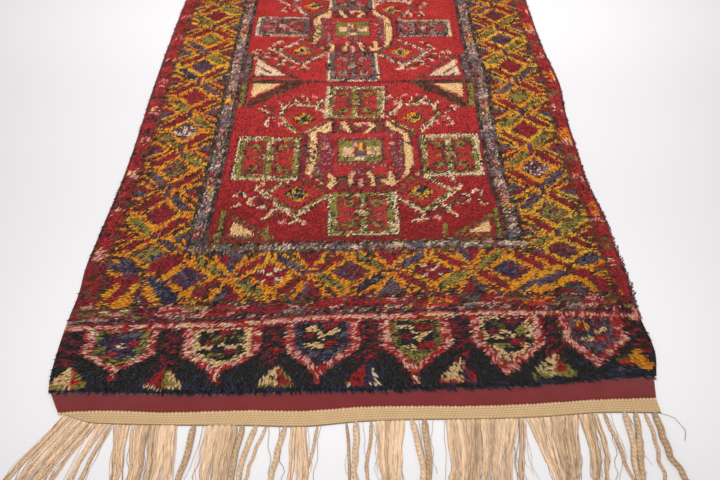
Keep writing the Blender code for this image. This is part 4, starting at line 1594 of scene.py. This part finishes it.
def fringePaths(side, setup):
    # fine yarns, and the wider locks and cords that lie under or beside them
    numbers = np.random.default_rng(setup["seed"] + side)
    turn, full = -side, setup["length"]
    yarnPaths, bodyPaths = [], []

    def line(root, tip, length, bend, thick, grow=1.0, lift=0.0):
        # points from the band to the tip, with a slow bend and a small wave
        phase, wavelength = numbers.uniform(0, 2 * math.pi), numbers.uniform(*setup["swingLength"])
        swing = numbers.uniform(*setup["swing"]) * grow
        points, rootY = [], bandEdge(root * turn, side) - side * 0.004
        for s, radius in enumerate(thick):
            d = length * s / (len(thick) - 1)
            grown = min(1, d / full)
            wave = math.sin(2 * math.pi * (root / setup["waveAcross"] + d / setup["waveAlong"]))
            x = root + (tip - root) * d / full + setup["waveHeight"] * grown * wave
            x += bend * math.sin(math.pi * grown) + swing * grown * math.sin(2 * math.pi * d / wavelength + phase)
            z = radius + lift * (1 - 0.5 * grown) * min(1, 0.1 + 8 * grown)
            points.append((x * turn, rootY + side * d, z))
        return points

    def taper(half, stations, atRoot, rise, narrowing):
        # half width of a strand at each of its stations
        return [half * min(1, atRoot + s * rise) * (1 - narrowing * (s / (stations - 1)) ** 2) for s in range(stations)]

    for start, end, leanStart, leanEnd, count in lockTable:
        reach = setup["leanGrowth"] * full / setup["leanAt"]
        middle = (start + end) / 2000
        if count <= 2:
            tip = middle + (leanStart + leanEnd) / 2 * reach
            half = max(setup["cordLeast"], 0.00040 * (end - start))
            length = full * numbers.uniform(*setup["cordLength"])
            thick = taper(half, setup["cordStations"], *setup["cordTaper"])
            points = line(middle, tip, length, numbers.normal(0, setup["cordBend"]), thick)
            bodyPaths.append((points, thick, setup["cordFlat"], numbers.uniform(*setup["cordShade"]), 1.0))
            continue
        pitch = (end - start) / count / 1000
        gather = numbers.uniform(*setup["gather"])
        for k in range(count):
            part = (k + 0.5) / count
            root = (start + (end - start) * part) / 1000
            lean = (leanStart + (leanEnd - leanStart) * part) * reach
            tip = middle + (root - middle) * gather + lean + numbers.normal(0, setup["tipSpread"])
            length = full * numbers.uniform(*setup["lockLength"])
            bend = numbers.normal(0, setup["lockBend"])
            half = pitch * numbers.uniform(*setup["lockWidth"])
            thick = taper(half, setup["lockStations"], *setup["lockTaper"])
            # painted shade: a lock's body, lying under its yarns, is darker than they are
            shade = numbers.uniform(*setup["lockShade"])
            bodyPaths.append((line(root, tip, length * 0.97, bend, thick), thick, setup["lockFlat"], shade, 0.0))
            for i in range(setup["yarnsEach"]):
                offset = numbers.normal(0, setup["yarnSpread"]) * half
                thick = [setup["yarnRadius"] * numbers.uniform(*setup["yarnSize"])] * setup["lockStations"]
                lift = half * 2 * setup["lockFlat"] * math.sqrt(max(0.0, 1 - (offset / half) ** 2))
                tipHere = tip + offset * numbers.uniform(*setup["yarnFan"])
                lengthHere = length * numbers.uniform(*setup["yarnLength"])
                bendHere = bend + numbers.normal(0, setup["yarnBend"])
                points = line(root + offset, tipHere, lengthHere, bendHere, thick, 1.0, lift)
                shadeHere = float(np.clip(shade + numbers.normal(*setup["yarnShade"]), 0, 1))
                yarnPaths.append((points, thick, 1.0, shadeHere, 0.0))
    for k in range(setup["strays"]):
        root = numbers.uniform(*setup["strayEnds"])
        thick = [setup["yarnRadius"] * setup["strayRadius"]] * setup["lockStations"]
        tip = root + numbers.normal(0, setup["straySpread"])
        length = full * numbers.uniform(*setup["strayLength"])
        points = line(root, tip, length, numbers.normal(0, setup["strayBend"]), thick, 2.5, 0.002)
        yarnPaths.append((points, thick, 1.0, numbers.uniform(*setup["strayShade"]), 0.0))
    loop = [(x * turn, -y * side, z) for x, y, z in looseLoop]
    yarnPaths.append((loop, [setup["yarnRadius"] * 0.8] * len(loop), 1.0, 0.0, 0.0))
    return pathObject("yarnPaths", yarnPaths), pathObject("bodyPaths", bodyPaths)


def yarnTree(material):
    # a closed tube on each path, pressed flat towards the floor
    tree, given = startTree("yarnFromPath", {"Sides": 3})
    thick = named(tree, "thick")
    curve = addNode(tree, "GeometryNodeMeshToCurve", {"Mesh": given["Geometry"]})
    wide = addNode(tree, "GeometryNodeSetCurveRadius", {"Curve": curve, "Radius": thick})
    along = addNode(tree, "GeometryNodeSplineParameter").outputs["Length"]
    circle = {"Resolution": given["Sides"], "Radius": 1.0}
    circle = addNode(tree, "GeometryNodeCurvePrimitiveCircle", circle, mode="RADIUS")
    spun = addNode(tree, "GeometryNodeTransform", {"Geometry": circle, "Rotation": (0, 0, -math.pi / 2)})
    around = addNode(tree, "GeometryNodeSplineParameter").outputs["Factor"]
    sweep = addNode(tree, "GeometryNodeCurveToMesh", {
        "Curve": store(tree, wide, "along", along, data_type="FLOAT", domain="POINT"),
        "Profile Curve": store(tree, spun, "around", around, data_type="FLOAT", domain="POINT"),
        "Scale": thick,
        "Fill Caps": True,
    })
    apart = addNode(tree, "ShaderNodeSeparateXYZ", {"Vector": addNode(tree, "GeometryNodeInputPosition")}).outputs
    lower = maths(tree, "MULTIPLY", apart["Z"], named(tree, "flat"))
    pressed = addNode(tree, "ShaderNodeCombineXYZ", {"X": apart["X"], "Y": apart["Y"], "Z": lower})
    press = addNode(tree, "GeometryNodeSetPosition", {"Geometry": sweep, "Position": pressed})
    return finishTree(tree, addNode(tree, "GeometryNodeRealizeInstances", {"Geometry": press}), material)


yarnLook = {
    "light": (0.92, 0.795, 0.67),
    "dark": (0.55, 0.43, 0.30),
    "streakScale": (900, 55, 900),
    "streakShade": 1.3,
    "plyPitch": 0.0085,
    "plies": 2.0,
    "grooveLevel": 0.7,
    "grooveShade": 0.32,
    "relief": 0.0012,
}


def yarnMaterial(name, look):
    # tan yarn with fine lengthwise streaks; cords show the turns of their plies, with painted shade in the grooves
    # between them
    material, tree = startMaterial(name, 0.8, 0.15)

    def sums(operation, *values, **settings):
        return maths(tree, operation, *values, **settings)

    shade, twist, along, around = (fieldOf(tree, label) for label in ("shade", "twist", "along", "around"))
    streaked = addNode(tree, "ShaderNodeMapping", {"Vector": objectPlace(tree), "Scale": look["streakScale"]})
    turns = sums("ADD", sums("MULTIPLY", along, 1 / look["plyPitch"]), sums("MULTIPLY", around, look["plies"]))
    groove = sums("ABSOLUTE", sums("SINE", sums("MULTIPLY", turns, math.pi)))
    # painted shade in the grooves between a cord's plies
    groove = sums("SUBTRACT", groove, look["grooveLevel"])
    groove = sums("MULTIPLY", groove, sums("MULTIPLY", twist, look["grooveShade"]))
    streak = sums("MULTIPLY", sums("SUBTRACT", noiseOf(tree, streaked, 1.0, 2), 0.5), look["streakShade"])
    value = sums("ADD", sums("ADD", shade, streak), groove, use_clamp=True)
    colour = mixColours(tree, value, linear(look["dark"]), linear(look["light"]))
    return finishMaterial(material, colour, groove, look["relief"])


bandSetup = {
    "columns": 240,
    # share of the band's depth, height
    "profile": (
        (0.0, 0.0003), (0.0, 0.0030), (0.04, 0.0037), (0.35, 0.0035),
        (0.7, 0.0036), (0.94, 0.0034), (1.0, 0.0018), (0.975, 0.0003),
    ),
    "innerEnds": (-0.531, 0.552),
    "outerEnds": (-0.518, 0.553),
    "gap": 0.0003,
    "beadPitch": 0.0065,
    "beadSize": (0.0034, 0.0034, 0.0028),
    "beadSpread": (0.85, 1.12),
    "beadSeed": 11,
}
bandLook = {
    "light": (0.73, 0.61, 0.455),
    "dark": (0.57, 0.455, 0.32),
    "rowDepth": 0.0047,
    "stitchLength": 0.0065,
    "stitchTones": (-0.5, 1.5, 0.0, 1.0),
    "dyeAndShadeTones": (0, 1, 0.88, 1.12),
    "rolledTones": (0.91, 0.97, 1.0, 0.3),
    "relief": 0.0007,
    "beadLight": (0.79, 0.67, 0.51),
    "beadDark": (0.63, 0.51, 0.37),
    "beadWeave": {"scale": 900, "distortion": 1.0, "relief": 0.0003},
}


def endBand(name, side, setup, material):
    # woven tan band: a closed strip, a little crowned, with its outer edge rolled down
    columns, profile, turn = setup["columns"], setup["profile"], -side
    verts, faces, places = [], [], []
    for i in range(columns + 1):
        innerX, outerX = (a + (b - a) * (i / columns) for a, b in (setup["innerEnds"], setup["outerEnds"]))
        innerY = float(endLine("kilim", innerX * turn, side)) + side * setup["gap"]
        outerY = bandEdge(outerX * turn, side)
        for part, z in profile:
            verts.append(((innerX + (outerX - innerX) * part) * turn, innerY + (outerY - innerY) * part, z))
            places.append((innerX, abs(outerY - innerY) * part, part))
    ring = len(profile)
    for i in range(columns):
        for k in range(ring):
            a, b = i * ring + k, i * ring + (k + 1) % ring
            faces.append((a, b, b + ring, a + ring))
    faces += [range(ring), reversed(range(columns * ring, columns * ring + ring))]
    thing = meshObject(name, verts, faces, material)
    addField(thing, "bandPlace", "FLOAT_VECTOR", places)
    faceOutward(thing)
    return thing


def bandMaterial(name, look):
    # rows of short stitches that follow the band, with a shaded line along its rolled edge
    material, tree = startMaterial(name, 0.9, 0.15)

    def sums(operation, *values):
        return maths(tree, operation, *values)

    apart = addNode(tree, "ShaderNodeSeparateXYZ", {"Vector": fieldOf(tree, "bandPlace", "Vector")}).outputs
    row = sums("DIVIDE", apart["Y"], look["rowDepth"])
    turns = sums("MULTIPLY", apart["X"], 2 * math.pi / look["stitchLength"])
    stitch = sums("SINE", sums("ADD", turns, sums("MULTIPLY", sums("FLOOR", row), math.pi)))
    across = sums("SINE", sums("MULTIPLY", sums("FRACT", row), math.pi))
    weave = sums("ADD", sums("MULTIPLY", stitch, 0.5), across)
    share = mapRange(tree, weave, look["stitchTones"])
    uneven = mapRange(tree, noiseOf(tree, objectPlace(tree), 60, 3), look["dyeAndShadeTones"])
    rolled = mapRange(tree, apart["Z"], look["rolledTones"])
    colour = mixColours(tree, share, linear(look["dark"]), linear(look["light"]))
    tint = vectors(tree, "SCALE", {0: colour, "Scale": sums("MULTIPLY", uneven, rolled)})
    return finishMaterial(material, tint, weave, look["relief"])


def beadTree(bead, setup, material):
    # a bead of yarn on every point of a line
    tree, given = startTree("beadsOnLine", {"Pitch": setup["beadPitch"]})
    curve = addNode(tree, "GeometryNodeMeshToCurve", {"Mesh": given["Geometry"]})
    points = addNode(tree, "GeometryNodeCurveToPoints", {"Curve": curve, "Length": given["Pitch"]}, mode="LENGTH")
    low, high = setup["beadSpread"]
    vary = addNode(tree, "FunctionNodeRandomValue", {2: low, 3: high, "Seed": setup["beadSeed"]}, data_type="FLOAT")
    source = addNode(tree, "GeometryNodeObjectInfo", {"Object": bead}).outputs["Geometry"]
    put = addNode(tree, "GeometryNodeInstanceOnPoints", {"Points": points, "Instance": source, "Scale": vary})
    return finishTree(tree, addNode(tree, "GeometryNodeRealizeInstances", {"Geometry": put}), material)


def beadLine(side, setup):
    # along the band's inner edge
    left, right = setup["innerEnds"]
    across = np.linspace(left + 0.003, right - 0.003, 160) * -side
    verts = [(x, float(endLine("kilim", x, side)) + side * 0.0018, 0.0032) for x in across]
    return meshObject("beadLine", verts, [], edges=[(i, i + 1) for i in range(len(verts) - 1)])


fringeYarn = yarnMaterial("looseTanYarn", yarnLook)
bandWeave = bandMaterial("tanBandWeave", bandLook)
beadColours = (linear(bandLook["beadLight"]), linear(bandLook["beadDark"]))
beadYarn = wovenMaterial("tanBeadYarn", *beadColours, bandLook["beadWeave"])
yarnGroup = yarnTree(fringeYarn)
bpy.ops.mesh.primitive_uv_sphere_add(segments=8, ring_count=5, radius=1)
bead = bpy.context.object
bead.name = "bead"
bead.data.transform(Matrix.Diagonal((*bandSetup["beadSize"], 1)))
beadGroup = beadTree(bead, bandSetup, beadYarn)
fringes, bands, beads, locks = {}, {}, {}, {}
for side, end in ((-1, "near"), (1, "far")):
    yarnPaths, bodyPaths = fringePaths(side, fringeSetup)
    fringes[end] = grow(yarnPaths, yarnGroup, {"Sides": 3}, f"fringe_yarns_{end}")
    locks[end] = grow(bodyPaths, yarnGroup, {"Sides": 8}, f"fringe_locks_{end}")
    bands[end] = endBand(f"end_band_{end}", side, bandSetup, bandWeave)
    beads[end] = grow(beadLine(side, bandSetup), beadGroup, {}, f"band_beads_{end}")
    print("end band done:", end)
bpy.data.objects.remove(bead)


# What rides where
for piece in [ground, *pilePieces]:
    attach(piece, "root")
    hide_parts("rug")
for end in ("near", "far"):
    for piece in (fringes[end], locks[end], bands[end], beads[end]):
        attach(piece, "root")
        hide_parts(f"fringe_{end}")


# Floor, light and camera
studio = {
    "floorSize": 14.0,
    "floorColour": (0.476, 0.463, 0.468),
    # painted light on the floor: lighter towards the front, the back and the right, and a pool of light around the near
    # end
    # axis, from low, from high, to low, to high
    "paintedFloorLight": (
        ("Y", -1.15, -0.35, 1.2, 1.0),
        ("Y", -0.1, 0.5, 1.0, 1.12),
        ("X", 0.2, 0.9, 1.0, 1.09),
        ("near", 0.52, 0.95, 1.08, 1.0),
    ),
    "nearMiddle": (0.02, -1.2, 0.0),
    "worldColour": (1.0, 1.0, 1.0),
    "worldStrength": 0.7,
    "keyPower": 56,
    "keyPlace": (-0.15, -2.6, 2.6),
    "keyAim": (0.0, 1.5, 0.0),
    "keySize": 1.5,
    "keySpread": 66,
    "cameraPlace": (0.011, -1.7385, 1.109),
    "cameraPitch": 45.0,
    "lens": 34.85,
    "sensor": 36,
    "clipEnd": 50,
}


def floorPaint():
    # pale floor with painted light: a little lighter towards the front, the back and the right, where the lamp reaches
    # less, and a painted pool of light around the rug's near end
    material, tree = startMaterial("paleFloor", 0.9)
    coords = objectPlace(tree)
    apart = addNode(tree, "ShaderNodeSeparateXYZ", {"Vector": coords}).outputs
    away = vectors(tree, "DISTANCE", {0: coords, 1: studio["nearMiddle"]})
    shade = None
    for axis, *ends in studio["paintedFloorLight"]:
        place = away if axis == "near" else apart[axis]
        tone = mapRange(tree, place, ends, interpolation_type="SMOOTHSTEP")
        shade = tone if shade is None else maths(tree, "MULTIPLY", shade, tone)
    return finishMaterial(material, vectors(tree, "SCALE", {0: studio["floorColour"], "Scale": shade}))


half = studio["floorSize"] / 2
floorCorners = [(-half, -half, 0), (half, -half, 0), (half, half, 0), (-half, half, 0)]
floor = meshObject("floor", floorCorners, [(0, 1, 2, 3)], floorPaint())

world = bpy.data.worlds.new("studio")
bpy.context.scene.world = world
world.use_nodes = True
background = world.node_tree.nodes["Background"]
background.inputs["Color"].default_value = (*studio["worldColour"], 1)
background.inputs["Strength"].default_value = studio["worldStrength"]

key = bpy.data.lights.new("key", "AREA")
key.energy = studio["keyPower"]
key.size = studio["keySize"]
key.spread = math.radians(studio["keySpread"])
keyLight = addThing("key", key)
keyLight.location = studio["keyPlace"]
keyLight.rotation_euler = (Vector(studio["keyAim"]) - keyLight.location).to_track_quat("-Z", "Y").to_euler()

camera = addThing("camera", bpy.data.cameras.new("camera"))
camera.location = studio["cameraPlace"]
camera.rotation_euler = (math.radians(90 - studio["cameraPitch"]), 0, 0)
camera.data.lens = studio["lens"]
camera.data.sensor_width = studio["sensor"]
camera.data.clip_end = studio["clipEnd"]
bpy.context.scene.camera = camera
bpy.context.scene.view_settings.view_transform = "Standard"
print("studio done")
